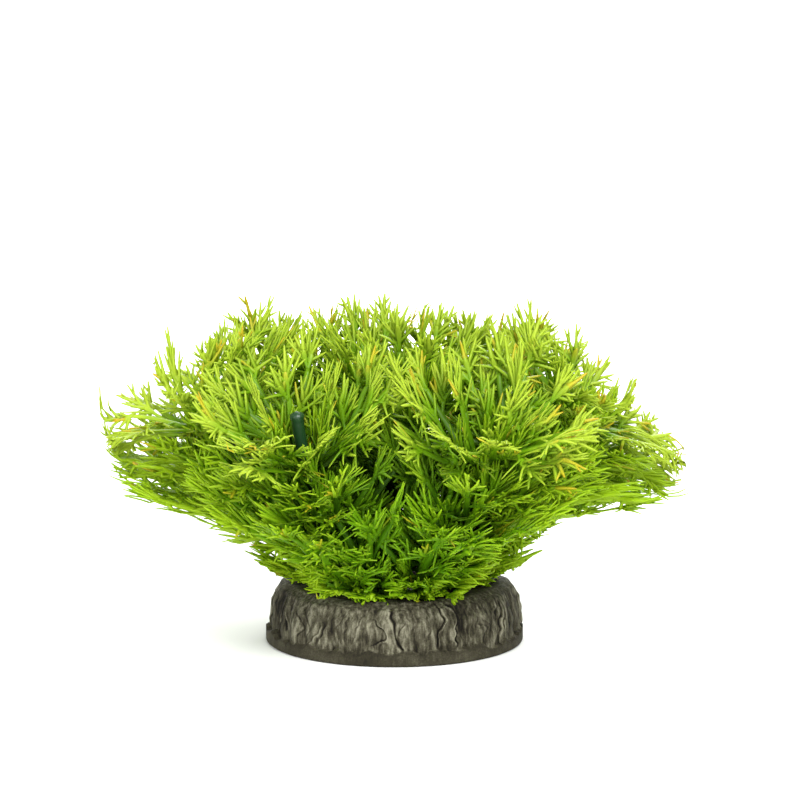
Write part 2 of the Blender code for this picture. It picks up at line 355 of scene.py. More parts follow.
@dataclass
class Skin:
    """A growing mesh: points, faces of three and four corners, and a few values at each point."""

    points: list[np.ndarray] = field(default_factory=list)
    quads: list[np.ndarray] = field(default_factory=list)
    triangles: list[np.ndarray] = field(default_factory=list)
    values: dict[str, list[np.ndarray]] = field(default_factory=dict)
    count: int = 0

    def add(
        self,
        points: np.ndarray,
        quads: np.ndarray,
        triangles: np.ndarray,
        values: dict[str, np.ndarray],
    ) -> None:
        """Adds a piece of the mesh.

        Args:
            points: its points, with a last axis of three.
            quads: faces of four corners, numbered from its own first point.
            triangles: faces of three corners, likewise.
            values: point attributes by name, one value for each point.
        """
        self.points.append(points.reshape(-1, 3))
        self.quads.append(quads.reshape(-1, 4) + self.count)
        self.triangles.append(triangles.reshape(-1, 3) + self.count)
        for name, value in values.items():
            self.values.setdefault(name, []).append(value.reshape(-1))
        self.count += len(self.points[-1])

    def build(self, name: str, finish: bpy.types.Material) -> bpy.types.Object:
        """Makes the mesh object, smooth shaded, with its values as point attributes.

        Args:
            name: the object's name.
            finish: its material.

        Returns:
            The new object, linked to the scene.
        """
        points = np.concatenate(self.points).astype(np.float32)
        quads = np.concatenate(self.quads)
        triangles = np.concatenate(self.triangles)
        mesh = bpy.data.meshes.new(name)
        mesh.vertices.add(len(points))
        mesh.vertices.foreach_set("co", points.ravel())
        corners = np.concatenate([quads.ravel(), triangles.ravel()]).astype(np.int32)
        starts = np.concatenate(
            [np.arange(len(quads)) * 4, len(quads) * 4 + np.arange(len(triangles)) * 3]
        )
        mesh.loops.add(len(corners))
        mesh.loops.foreach_set("vertex_index", corners)
        mesh.polygons.add(len(starts))
        mesh.polygons.foreach_set("loop_start", starts.astype(np.int32))
        mesh.polygons.foreach_set("use_smooth", np.ones(len(starts), bool))
        mesh.update(calc_edges=True)
        mesh.validate()
        for key, parts in self.values.items():
            attribute = mesh.attributes.new(key, "FLOAT", "POINT")
            attribute.data.foreach_set("value", np.concatenate(parts).astype(np.float32))
        mesh.materials.append(finish)
        made = bpy.data.objects.new(name, mesh)
        bpy.context.scene.collection.objects.link(made)
        return made


def sweep(
    skin: Skin,
    centres: np.ndarray,
    normals: np.ndarray,
    half_widths: np.ndarray,
    half_depths: np.ndarray,
    twist: np.ndarray,
    sides: int,
    values: dict[str, np.ndarray],
) -> None:
    """Carries a flattened section along many paths at once and closes both ends in a point.

    The section is an ellipse: the width goes along the cross product of the sheet's normal and the
    path's direction, and the depth along the normal, both turned by the twist.

    Args:
        skin: the mesh that the strips are added to.
        centres: paths, stations and three coordinates.
        normals: the sheet's normal at each of those points.
        half_widths: half the section's width, for each path and station.
        half_depths: half its depth, likewise.
        twist: turn of the section about its path, likewise, in radians.
        sides: points round the section.
        values: point attributes, likewise.
    """
    paths, stations = centres.shape[:2]
    rings = stations - 2
    run = unit(np.gradient(centres, axis=1))
    side = unit(np.cross(normals, run))
    face = np.cross(run, side)
    turned = np.cos(twist)[..., None] * side + np.sin(twist)[..., None] * face
    facing = np.cross(run, turned)
    angle = math.tau * np.arange(sides) / sides
    wide = (half_widths[..., None] * np.cos(angle))[..., None] * turned[:, :, None]
    deep = (half_depths[..., None] * np.sin(angle))[..., None] * facing[:, :, None]
    ringed = (centres[:, 1:-1, None] + (wide + deep)[:, 1:-1]).reshape(paths, -1, 3)
    points = np.concatenate([centres[:, :1], ringed, centres[:, -1:]], axis=1)
    size = points.shape[1]
    quads = 1 + band_quads(rings, sides).reshape(-1, 4)
    near = 1 + np.arange(sides)
    near_next = 1 + (np.arange(sides) + 1) % sides
    last = (rings - 1) * sides
    start = np.stack([0 * near, near_next, near], axis=-1)
    end = np.stack([near + last, near_next + last, 0 * near + size - 1], axis=-1)
    offsets = (np.arange(paths) * size)[:, None, None]
    ends = np.concatenate([start, end])
    told = {}
    for name, value in values.items():
        middle = np.repeat(value[:, 1:-1], sides, axis=1)
        told[name] = np.concatenate([value[:, :1], middle, value[:, -1:]], axis=1)
    skin.add(points, quads + offsets, ends + offsets, told)


def bent_paths(
    starts: np.ndarray,
    angles: np.ndarray,
    bends: np.ndarray,
    lengths: np.ndarray,
    shares: np.ndarray,
) -> np.ndarray:
    """Flat paths whose direction turns evenly from angle to angle + bend as they run.

    Args:
        starts: first points (x, y), one for each path.
        angles: first directions, in radians from the rib.
        bends: how far each turns in all.
        lengths: path lengths, in metres.
        shares: the stations, from 0 to 1.

    Returns:
        Paths, stations and two coordinates.
    """
    middle = (shares[1:] + shares[:-1]) / 2
    turns = angles[:, None] + bends[:, None] * middle
    steps = lengths[:, None] * np.diff(shares)
    run = np.stack([steps * np.cos(turns), steps * np.sin(turns)], axis=-1)
    gone = np.concatenate([np.zeros((len(starts), 1, 2)), np.cumsum(run, axis=1)], axis=1)
    return starts[:, None] + gone


def pick(paths: np.ndarray, shares: np.ndarray, wanted: np.ndarray) -> np.ndarray:
    """Values of paths at one wanted share each, read on a straight line between two stations.

    Args:
        paths: paths, stations and any further axes.
        shares: the stations' shares, from 0 to 1.
        wanted: one share for each path.

    Returns:
        The values, without the axis of the stations.
    """
    where = np.clip(np.searchsorted(shares, wanted) - 1, 0, len(shares) - 2)
    part = (wanted - shares[where]) / (shares[where + 1] - shares[where])
    each = np.arange(len(paths))
    part = part.reshape(part.shape + (1,) * (paths.ndim - 2))
    return paths[each, where] * (1 - part) + paths[each, where + 1] * part


@dataclass(frozen=True)
class Play:
    """How far single branches and fingers stray from the pattern, for draws from -1 to 1.

    The rib's, the places' and the lifts are in metres, turns are in degrees, the end branch's two
    are in radians and the rest are shares.
    """

    rib_sway: float = 0.0022
    rib_ripple: float = 0.0010
    branch_place: float = 0.0010
    branch_length: float = 0.10
    branch_turn: float = 6.0
    branch_bend: float = 0.5
    branch_lift: float = 0.7
    end_turn: float = 0.06
    end_bend: float = 0.1
    finger_leave: float = 0.03
    finger_turn: float = 7.0
    finger_bend: float = 8.0
    finger_length: float = 0.16
    finger_width: float = 0.10
    finger_twist: float = 0.35
    fork_leave: float = 0.08
    fork_turn: float = 8.0


@dataclass(frozen=True)
class Pattern:
    """The moulded pattern of a blade: a rib, side branches and their hands of fingers.

    Lengths are in metres and turns in degrees. Leaves are the shares of a branch where its fingers
    leave it, and of a finger where its second prong does.
    """

    spacing: float = 0.0080
    first_branch: float = 0.20
    last_branch: float = 0.78
    fewest_branches: int = 3
    branch_length: float = 0.0158
    steep: float = 60.0
    flat: float = 34.0
    branch_bend: float = 16.0
    least_swell: float = 0.70
    swell: float = 0.30
    swell_start: float = 0.15
    swell_run: float = 0.60
    taper: float = 0.36
    end_share: float = 0.80
    side_lift: float = 0.5
    slimming: float = 0.4
    finger_length: float = 0.0140
    inner_leaves: tuple[float, ...] = (0.36, 0.60, 0.82)
    inner_turns: tuple[float, ...] = (50.0, 38.0, 20.0)
    outer_leaves: tuple[float, ...] = (0.50, 0.74)
    outer_turns: tuple[float, ...] = (48.0, 26.0)
    middle_leave: float = 0.93
    least_grown: float = 0.84
    grown: float = 0.16
    middle_grown: float = 0.10
    fork_leave: float = 0.46
    fork_turn: float = 30.0
    fork_share: float = 0.50
    fork_return: float = 0.25
    forked: float = 0.55
    hang_cut: float = 0.75
    straightening: float = 0.12
    rib_overrun: float = 0.06
    rib_width: float = 0.0015
    branch_width: float = 0.00100
    finger_width: float = 0.00072
    depth: float = 0.00042
    branch_lift: float = 0.0075
    finger_lift: float = 0.0028
    sides: int = 6
    finger_sides: int = 4
    fork_sides: int = 3
    play: Play = Play()

    def swelling(self, share: np.ndarray) -> np.ndarray:
        """Branch lengths along the rib: part of a sine wave, times 1 - taper * share^2."""
        wave = np.sin(math.pi * (self.swell_start + self.swell_run * share))
        return (self.least_swell + self.swell * wave) * (1 - self.taper * share**2)

    def growing(self, leave: np.ndarray, turn: np.ndarray) -> np.ndarray:
        """Finger lengths by where they leave: a half sine wave, and more for those straight on."""
        wave = self.grown * np.sin(math.pi * leave)
        return self.least_grown + wave + self.middle_grown * (turn == 0)


PATTERN = Pattern()
OPEN_PATTERN = Pattern(
    spacing=0.0084,
    branch_length=0.0154,
    steep=54.0,
    flat=28.0,
    finger_length=0.0148,
    inner_turns=(46.0, 34.0, 18.0),
    outer_turns=(44.0, 24.0),
    finger_width=0.00074,
)

# Stations along each kind of strip, and there its width, depth and tone as shares of its own
RIB_SHARES = np.linspace(0, 1, 14)
RIB_WIDTHS = 1.35 - 0.65 * RIB_SHARES
RIB_DEPTHS = 1.9 - 0.9 * RIB_SHARES
RIB_TONES = 0.30 + 0.30 * RIB_SHARES
BRANCH_SHARES = np.array([0.0, 0.03, 0.18, 0.36, 0.54, 0.70, 0.86, 0.96, 1.0])
BRANCH_WIDTHS = np.array([0.0, 1.30, 0.85, 1.05, 1.55, 1.75, 1.30, 0.70, 0.0])
BRANCH_DEPTHS = 1.25 - 0.4 * BRANCH_SHARES
BRANCH_LIFTS = BRANCH_SHARES**2
BRANCH_ROOT_TONES = (0.36, 0.20)
BRANCH_TONES = 0.34 * BRANCH_SHARES**1.5
FINGER_SHARES = np.array([0.0, 0.05, 0.35, 0.70, 0.93, 1.0])
FINGER_WIDTHS = np.array([0.0, 2.00, 1.10, 0.88, 0.50, 0.0])
FINGER_DEPTHS = np.array([0.0, 1.0, 0.95, 0.85, 0.5, 0.0])
FINGER_LIFTS = FINGER_SHARES**1.6
FORK_SHARES = np.array([0.0, 0.12, 0.62, 0.92, 1.0])
FORK_WIDTHS = np.array([0.0, 1.15, 0.85, 0.45, 0.0])
FORK_DEPTHS = np.array([0.0, 0.9, 0.8, 0.5, 0.0])
FORK_TONES = 0.78 + 0.22 * FORK_SHARES


@dataclass
class Foliage:
    """Draws fingered blades on bent sheets, into one mesh."""

    pattern: Pattern
    skin: Skin = field(default_factory=Skin)

    def draw(self, blade: Blade, size: float, rng: np.random.Generator) -> None:
        """Draws one blade: the rib, then its branches, then the fingers of each branch.

        Args:
            blade: the sheet that it lies on.
            size: its branches' length as a share of the pattern's.
            rng: the seeded source of its play.
        """
        ruler = Ruler(blade)
        length = ruler.length
        play = rng.uniform(-1, 1, 3)
        self.draw_rib(ruler, length, play)
        self.draw_branches(ruler, length, size, play, rng)

    def tell(
        self, ruler: Ruler, flat: np.ndarray, tone: np.ndarray, play: np.ndarray
    ) -> dict[str, np.ndarray]:
        """The point attributes: tone along the blade, nearness to the bush's surface for the
        painted shade and light, and play.
        """
        whole = np.ones(flat.shape[:-1])
        # The nearness attribute is painted shade: low deep inside the bush, high at its top and
        # wings
        return {"tone": tone * whole, "lit_share": ruler.depth(flat), "play": play * whole}

    def rib_line(self, x: np.ndarray, length: float, play: np.ndarray) -> np.ndarray:
        """How far the rib strays sideways at x: a half wave and a whole one, and none at the root.

        Args:
            x: places along the rib, in metres.
            length: the rib's length.
            play: the blade's own play.

        Returns:
            The rib's sideways places, in metres.
        """
        share = x / length
        sway = self.pattern.play.rib_sway * play[0] * np.sin(math.pi * share)
        return sway + self.pattern.play.rib_ripple * play[1] * np.sin(math.tau * share)

    def draw_rib(self, ruler: Ruler, length: float, play: np.ndarray) -> None:
        """The rib, from its seat to the last fork, as one flattened strip that thins outwards.

        Args:
            ruler: measures the sheet.
            length: the rib's length.
            play: the blade's own play.
        """
        pattern = self.pattern
        x = length * (pattern.last_branch + pattern.rib_overrun) * RIB_SHARES[None]
        flat = np.stack([x, self.rib_line(x, length, play), 0 * x], axis=-1)
        centres, normals = ruler.carry(flat)
        width = pattern.rib_width * RIB_WIDTHS * np.ones_like(x)
        depth = pattern.depth * RIB_DEPTHS * np.ones_like(x)
        values = self.tell(ruler, flat, RIB_TONES, play[2])
        sweep(self.skin, centres, normals, width, depth, 0 * x, pattern.sides, values)

    def draw_branches(
        self, ruler: Ruler, length: float, size: float, play: np.ndarray, rng: np.random.Generator
    ) -> None:
        """Alternate side branches, one more at the rib's end, and the hand of fingers on each.

        A branch's turn away from the rib goes evenly from steep to flat along it, and it lifts off
        the sheet by the square of the way along it.

        Args:
            ruler: measures the sheet.
            length: the rib's length.
            size: the branches' length as a share of the pattern's.
            play: the blade's own play.
            rng: the seeded source of each branch's play.
        """
        pattern, stray = self.pattern, self.pattern.play
        span = length * (pattern.last_branch - pattern.first_branch)
        number = max(pattern.fewest_branches, int(round(span / pattern.spacing)))
        share = np.linspace(0, 1, number)
        draws = rng.uniform(-1, 1, (5, number + 1))
        x = length * pattern.first_branch + span * share + stray.branch_place * draws[0, :-1]
        side = np.where(np.arange(number) % 2 == 0, 1.0, -1.0)
        longest = pattern.branch_length * size
        lengths = longest * pattern.swelling(share) * (1 + stray.branch_length * draws[1, :-1])
        lengths = lengths * (1 - pattern.hang_cut * ruler.blade.hanging(side))
        opening = pattern.steep + (pattern.flat - pattern.steep) * share
        angles = np.radians(opening + stray.branch_turn * draws[2, :-1])
        bends = -np.radians(pattern.branch_bend * (1 + stray.branch_bend * draws[3, :-1])) * side
        x = np.append(x, length * pattern.last_branch)
        lengths = np.append(lengths, longest * pattern.end_share)
        angles = np.append(angles * side, stray.end_turn * draws[2, -1])
        bends = np.append(bends, stray.end_bend * draws[3, -1])
        side = np.append(side, 1.0 if draws[0, -1] > 0 else -1.0)
        starts = np.stack([x, self.rib_line(x, length, play)], axis=-1)
        paths = bent_paths(starts, angles, bends, lengths, BRANCH_SHARES)
        raised = pattern.side_lift * side + stray.branch_lift * draws[4]
        lifts = pattern.branch_lift * raised[:, None] * BRANCH_LIFTS
        lifts = lifts * np.minimum(1, lengths / pattern.branch_length)[:, None]
        flat = np.concatenate([paths, lifts[..., None]], axis=-1)
        centres, normals = ruler.carry(flat)
        root_tone, tone_gain = BRANCH_ROOT_TONES
        tone = (root_tone + tone_gain * np.append(share, 1.0))[:, None] + BRANCH_TONES
        slim = (lengths / pattern.branch_length)[:, None] ** pattern.slimming
        width = pattern.branch_width * BRANCH_WIDTHS * slim
        depth = pattern.depth * BRANCH_DEPTHS * np.ones_like(width)
        values = self.tell(ruler, flat, tone, draws[4][:, None])
        sweep(self.skin, centres, normals, width, depth, 0 * width, pattern.sides, values)
        self.draw_fingers(ruler, flat, angles, bends, side, lengths, tone, rng)

    def draw_fingers(
        self,
        ruler: Ruler,
        branches: np.ndarray,
        angles: np.ndarray,
        bends: np.ndarray,
        side: np.ndarray,
        lengths: np.ndarray,
        tone: np.ndarray,
        rng: np.random.Generator,
    ) -> None:
        """A hand of fingers on each branch: some on either side, and one straight on at its end.

        The further out one leaves, the less it turns away from the branch.

        Args:
            ruler: measures the sheet.
            branches: the branches' flat paths.
            angles: their first directions.
            bends: how far they turn.
            side: 1 for branches on the rib's left and -1 on its right.
            lengths: their lengths.
            tone: their colour value at each station.
            rng: the seeded source of play.
        """
        pattern, stray = self.pattern, self.pattern.play
        leave = np.array([*pattern.inner_leaves, *pattern.outer_leaves, pattern.middle_leave])
        turn = np.array([*pattern.inner_turns, *(-each for each in pattern.outer_turns), 0.0])
        owner = np.repeat(np.arange(len(lengths)), len(leave))
        leave, turn = np.tile(leave, len(lengths)), np.tile(turn, len(lengths))
        draws = rng.uniform(-1, 1, (5, len(owner)))
        leave = leave + stray.finger_leave * draws[0]
        starts = pick(branches[owner], BRANCH_SHARES, leave)
        spread = -side[owner] * np.radians(turn + stray.finger_turn * draws[1])
        heading = angles[owner] + bends[owner] * leave + spread
        bend = -spread * pattern.straightening + np.radians(stray.finger_bend) * draws[2]
        longer = (lengths[owner] / pattern.branch_length) ** 0.5
        length = pattern.finger_length * longer * pattern.growing(leave, turn)
        length = length * (1 + stray.finger_length * draws[3])
        flat = bent_paths(starts[:, :2], heading, bend, length, FINGER_SHARES)
        lift = starts[:, 2:] + pattern.finger_lift * draws[4][:, None] * FINGER_LIFTS
        flat = np.concatenate([flat, lift[..., None]], axis=-1)
        centres, normals = ruler.carry(flat)
        wider = 1 + stray.finger_width * draws[0]
        width = pattern.finger_width * FINGER_WIDTHS * wider[:, None]
        depth = pattern.depth * FINGER_DEPTHS * np.ones_like(width)
        first = pick(tone[owner], BRANCH_SHARES, leave)[:, None]
        values = self.tell(ruler, flat, first + (1 - first) * FINGER_SHARES, draws[1][:, None])
        twist = stray.finger_twist * draws[2][:, None] * FINGER_SHARES
        sweep(self.skin, centres, normals, width, depth, twist, pattern.finger_sides, values)
        forked = draws[4] > 1 - 2 * pattern.forked
        picked = flat[forked], heading[forked], bend[forked], length[forked], draws[:, forked]
        self.draw_forks(ruler, *picked)

    def draw_forks(
        self,
        ruler: Ruler,
        fingers: np.ndarray,
        headings: np.ndarray,
        bends: np.ndarray,
        lengths: np.ndarray,
        draws: np.ndarray,
    ) -> None:
        """A second prong part of the way along fingers, to the side that the finger's draw says.

        Args:
            ruler: measures the sheet.
            fingers: the fingers' flat paths.
            headings: their first directions.
            bends: how far they turn.
            lengths: their lengths.
            draws: five rows of random numbers for each finger, from -1 to 1.
        """
        pattern, stray = self.pattern, self.pattern.play
        leave = pattern.fork_leave + stray.fork_leave * draws[3]
        starts = pick(fingers, FINGER_SHARES, leave)
        away = np.where(draws[1] > 0, -1.0, 1.0)
        turn = away * np.radians(pattern.fork_turn + stray.fork_turn * draws[0])
        heading = headings + bends * leave + turn
        length = pattern.fork_share * lengths
        flat = bent_paths(starts[:, :2], heading, -pattern.fork_return * turn, length, FORK_SHARES)
        lift = starts[:, 2:] + 0 * FORK_SHARES
        flat = np.concatenate([flat, lift[..., None]], axis=-1)
        centres, normals = ruler.carry(flat)
        width = pattern.finger_width * FORK_WIDTHS * np.ones((len(flat), 1))
        depth = pattern.depth * FORK_DEPTHS * np.ones_like(width)
        values = self.tell(ruler, flat, FORK_TONES, draws[1][:, None])
        sweep(self.skin, centres, normals, width, depth, 0 * width, pattern.fork_sides, values)


@dataclass(frozen=True)
class Spray:
    """A smaller blade on a frond's rib: where it leaves, its turn, how far it rises and reaches.

    Leave is a share of the rib, turn is in degrees from the frond's own way, rise is a share of the
    frond's height, reach is in the plain space's units and size is its branches' length.
    """

    leave: float
    turn: float
    rise: float
    reach: float
    size: float


@dataclass(frozen=True)
class Tier:
    """A tier of fronds, as shares of the bush's height and of a stem's cell."""

    root: float
    tip: float
    seat: float
    reach: float
    roll: float
    size: float
    pattern: Pattern
    sprays: tuple[Spray, ...]


TIERS = {
    TierName.CROWN: Tier(
        root=0.56,
        tip=1.0,
        seat=0.0,
        reach=0.50,
        roll=35.0,
        size=1.0,
        pattern=PATTERN,
        sprays=(
            Spray(0.06, 52.0, 0.80, 0.40, 0.82),
            Spray(0.12, -50.0, 0.88, 0.40, 0.82),
            Spray(0.32, 36.0, 0.90, 0.30, 0.80),
            Spray(0.02, 14.0, 0.50, 0.46, 0.90),
            Spray(0.00, -20.0, 0.88, 0.16, 0.95),
        ),
    ),
    TierName.MID: Tier(
        root=0.25,
        tip=0.74,
        seat=0.0,
        reach=0.50,
        roll=20.0,
        size=0.95,
        pattern=PATTERN,
        sprays=(
            Spray(0.06, 46.0, 0.86, 0.42, 0.80),
            Spray(0.12, -46.0, 0.96, 0.42, 0.80),
            Spray(0.02, -12.0, 0.50, 0.46, 0.90),
            Spray(0.02, 84.0, 0.76, 0.60, 0.85),
            Spray(0.05, -84.0, 0.84, 0.60, 0.85),
            Spray(0.00, 50.0, 1.12, 0.10, 0.95),
            Spray(0.00, -60.0, 1.02, 0.12, 0.95),
        ),
    ),
    TierName.LOW: Tier(
        root=0.012,
        tip=0.54,
        seat=0.30,
        reach=0.55,
        roll=45.0,
        size=0.85,
        pattern=OPEN_PATTERN,
        sprays=(
            Spray(0.04, 62.0, 0.90, 0.56, 0.95),
            Spray(0.06, -62.0, 0.80, 0.56, 0.95),
            Spray(0.26, 30.0, 1.00, 0.30, 0.88),
            Spray(0.00, 28.0, 0.20, 0.24, 0.82),
            Spray(0.00, -34.0, 0.30, 0.24, 0.82),
            Spray(0.34, -165.0, 1.16, 0.28, 1.00),
            Spray(0.20, 140.0, 0.92, 0.24, 1.00),
            Spray(0.02, 128.0, 0.62, 0.60, 1.00),
            Spray(0.02, -126.0, 0.66, 0.66, 1.00),
            Spray(0.10, -116.0, 0.98, 0.52, 1.00),
            Spray(0.00, -170.0, 1.10, 0.34, 1.00),
            Spray(0.00, 8.0, 0.03, 0.44, 0.78),
            Spray(0.00, -62.0, 0.03, 0.42, 0.75),
            Spray(0.00, 58.0, 0.05, 0.38, 0.75),
        ),
    ),
}

Turns = dict[TierName, tuple[int, ...]]
CENTRE_TURNS: Turns = {
    TierName.CROWN: (60, 180, 300),
    TierName.MID: (0, 120, 240),
    TierName.LOW: (),
}
OUTER_TURNS: Turns = {
    TierName.CROWN: (0, 120, 240),
    TierName.MID: (55, 305),
    TierName.LOW: (0, 72, 288),
}
BACK_TURNS: Turns = {**OUTER_TURNS, TierName.LOW: (50, 310)}


@dataclass(frozen=True)
class Layout:
    """Which fronds each stem has, how they turn, and how far single ones stray from the rule.

    Turns are in degrees, the root's and the tip's play are shares of the bush's height, and the
    seat's radius is in metres.
    """

    back_stems: tuple[int, int] = (3, 4)
    centre_facing: float = 270.0
    group_play: float = 8.0
    turn_play: float = 5.0
    root_play: float = 0.02
    tip_play: float = 0.02
    roll_play: float = 18.0
    play_seed: int = 4
    stem_turn: float = 60.0
    seat_radius: float = 0.0020
    seat_step: float = 0.01

    def group(self, number: int) -> tuple[float, Turns]:
        """The fronds of one stem.

        Args:
            number: the stem's number.

        Returns:
            The way that its group faces, and its tiers' turns from that way.
        """
        stray = self.group_play * np.random.default_rng((self.play_seed, number)).uniform(-1, 1)
        if number == 1:
            return self.centre_facing + stray, CENTRE_TURNS
        facing = self.stem_turn * (number - 2) + stray
        return facing, BACK_TURNS if number in self.back_stems else OUTER_TURNS

    def seat(self, spot: Spot, turn: float, height: float) -> float:
        """A stem's radius in the plain space's units, measured over a short step from its line.

        Args:
            spot: the stem's place.
            turn: the way that a frond leaves it, in radians.
            height: the plain height of the frond's root.

        Returns:
            How far from the stem's line the frond starts.
        """
        step = self.seat_step
        here = BUSH.place(np.array(spot[0]), np.array(spot[1]), np.array(height))
        out = (spot[0] + step * math.cos(turn), spot[1] + step * math.sin(turn))
        there = BUSH.place(np.array(out[0]), np.array(out[1]), np.array(height))
        return self.seat_radius * step / float(np.linalg.norm((there - here)[:2]))

    def blade(self, number: int, spot: Spot, turn: float, name: TierName, count: int) -> Blade:
        """The sheet of one frond of the frame.

        Args:
            number: the stem's number.
            spot: the stem's place in the plain space.
            turn: the way that the frond goes, in degrees.
            name: its tier.
            count: its number in the tier, from 1.

        Returns:
            The bent sheet that its solid lies on.
        """
        tier = TIERS[name]
        order = list(TIERS).index(name)
        draws = np.random.default_rng((self.play_seed, number, order, count)).uniform(-1, 1, 4)
        heading = math.radians(turn + self.turn_play * draws[0])
        root = tier.root + self.root_play * draws[1] * (tier.seat == 0.0)
        tip = tier.tip + self.tip_play * (draws[2] - 1)
        seat = tier.seat or self.seat(spot, heading, root)
        roll = math.radians(self.roll_play * draws[3] + tier.roll * math.cos(heading))
        return Blade(spot, heading, root, tip, seat, tier.reach, roll)


@dataclass(frozen=True)
class Paint:
    """One stop of a colour ramp: where it lies, and its colour."""

    place: float
    colour: Colour


class Shader:
    """A node tree being written: makes nodes, sets their values and links them."""

    def __init__(self, name: str) -> None:
        """Starts a material of this name with its Principled shader."""
        self.material = bpy.data.materials.new(name)
        self.material.use_nodes = True
        self.tree = self.material.node_tree
        self.shader = self.tree.nodes["Principled BSDF"]
        self.output = self.tree.nodes["Material Output"]

    def node(self, kind: str, inputs: dict | None = None, **settings: object) -> bpy.types.Node:
        """Adds a node.

        Args:
            kind: its type.
            inputs: what its sockets are set to or linked from, by name or number.
            settings: its properties.

        Returns:
            The new node.
        """
        made = self.tree.nodes.new(kind)
        for key, value in settings.items():
            setattr(made, key, value)
        for key, value in (inputs or {}).items():
            self.feed(made.inputs[key], value)
        return made

    def feed(self, socket: bpy.types.NodeSocket, value: object) -> None:
        """Links an output to a socket, or sets the socket's own value.

        Args:
            socket: the input that is fed.
            value: an output socket, or a number or colour.
        """
        if isinstance(value, bpy.types.NodeSocket):
            self.tree.links.new(value, socket)
        else:
            socket.default_value = value

    def cover(self, **inputs: object) -> None:
        """Feeds the Principled shader's sockets, whose names are written with _ for a space."""
        for key, value in inputs.items():
            self.feed(self.shader.inputs[key.replace("_", " ")], value)

    def attribute(self, name: str) -> bpy.types.NodeSocket:
        """A point attribute's value."""
        return self.node("ShaderNodeAttribute", attribute_name=name).outputs["Fac"]

    def noise(
        self, scale: float, detail: float = 3.0, roughness: float = 0.5, upright: float = 1.0
    ) -> bpy.types.NodeSocket:
        """Noise on the object's own coordinates.

        Args:
            scale: waves a metre.
            detail: how many finer octaves it has.
            roughness: how strong they are.
            upright: below 1 it draws the pattern out into upright streaks.

        Returns:
            Its value, from 0 to 1.
        """
        place = self.node("ShaderNodeTexCoord").outputs["Object"]
        if upright != 1.0:
            inputs = {0: place, 1: (1.0, 1.0, upright)}
            place = self.node("ShaderNodeVectorMath", inputs, operation="MULTIPLY").outputs[0]
        inputs = {"Vector": place, "Scale": scale, "Detail": detail, "Roughness": roughness}
        return self.node("ShaderNodeTexNoise", inputs).outputs["Fac"]

    def math(
        self, operation: str, first: object, second: object, clamp: bool = False
    ) -> bpy.types.NodeSocket:
        """One operation on two values, each a number or an output."""
        inputs = {0: first, 1: second}
        return self.node("ShaderNodeMath", inputs, operation=operation, use_clamp=clamp).outputs[0]

    def add(self, first: object, second: object, clamp: bool = False) -> bpy.types.NodeSocket:
        """The sum of two values."""
        return self.math("ADD", first, second, clamp)

    def times(self, first: object, second: object, clamp: bool = False) -> bpy.types.NodeSocket:
        """The product of two values."""
        return self.math("MULTIPLY", first, second, clamp)

    def past(
        self, value: object, middle: float, gain: object, clamp: bool = False
    ) -> bpy.types.NodeSocket:
        """How far a value lies past a middle one, times a gain."""
        return self.times(self.math("SUBTRACT", value, middle), gain, clamp)

    def ramp(self, value: bpy.types.NodeSocket, stops: Sequence[Paint]) -> bpy.types.NodeSocket:
        """A colour ramp.

        Args:
            value: where on the ramp each point lies.
            stops: its colours, from the lowest place to the highest.

        Returns:
            The colour.
        """
        made = self.node("ShaderNodeValToRGB", {"Fac": value})
        band = made.color_ramp
        while len(band.elements) < len(stops):
            band.elements.new(0.5)
        for element, stop in zip(band.elements, stops):
            element.position = stop.place
            element.color = (*stop.colour, 1.0)
        return made.outputs["Color"]

    def mix(self, share: object, first: object, second: object) -> bpy.types.NodeSocket:
        """Two colours mixed.

        Args:
            share: the second one's share.
            first: a colour's output or its four numbers.
            second: likewise.

        Returns:
            The mixed colour.
        """
        made = self.node("ShaderNodeMix", data_type="RGBA")
        self.feed(made.inputs[0], share)
        self.feed(made.inputs[6], first)
        self.feed(made.inputs[7], second)
        return made.outputs[2]

    def bump(self, height: bpy.types.NodeSocket, distance: float, strength: float) -> None:
        """Bump on the Principled shader."""
        inputs = {"Height": height, "Distance": distance, "Strength": strength}
        self.cover(Normal=self.node("ShaderNodeBump", inputs).outputs["Normal"])


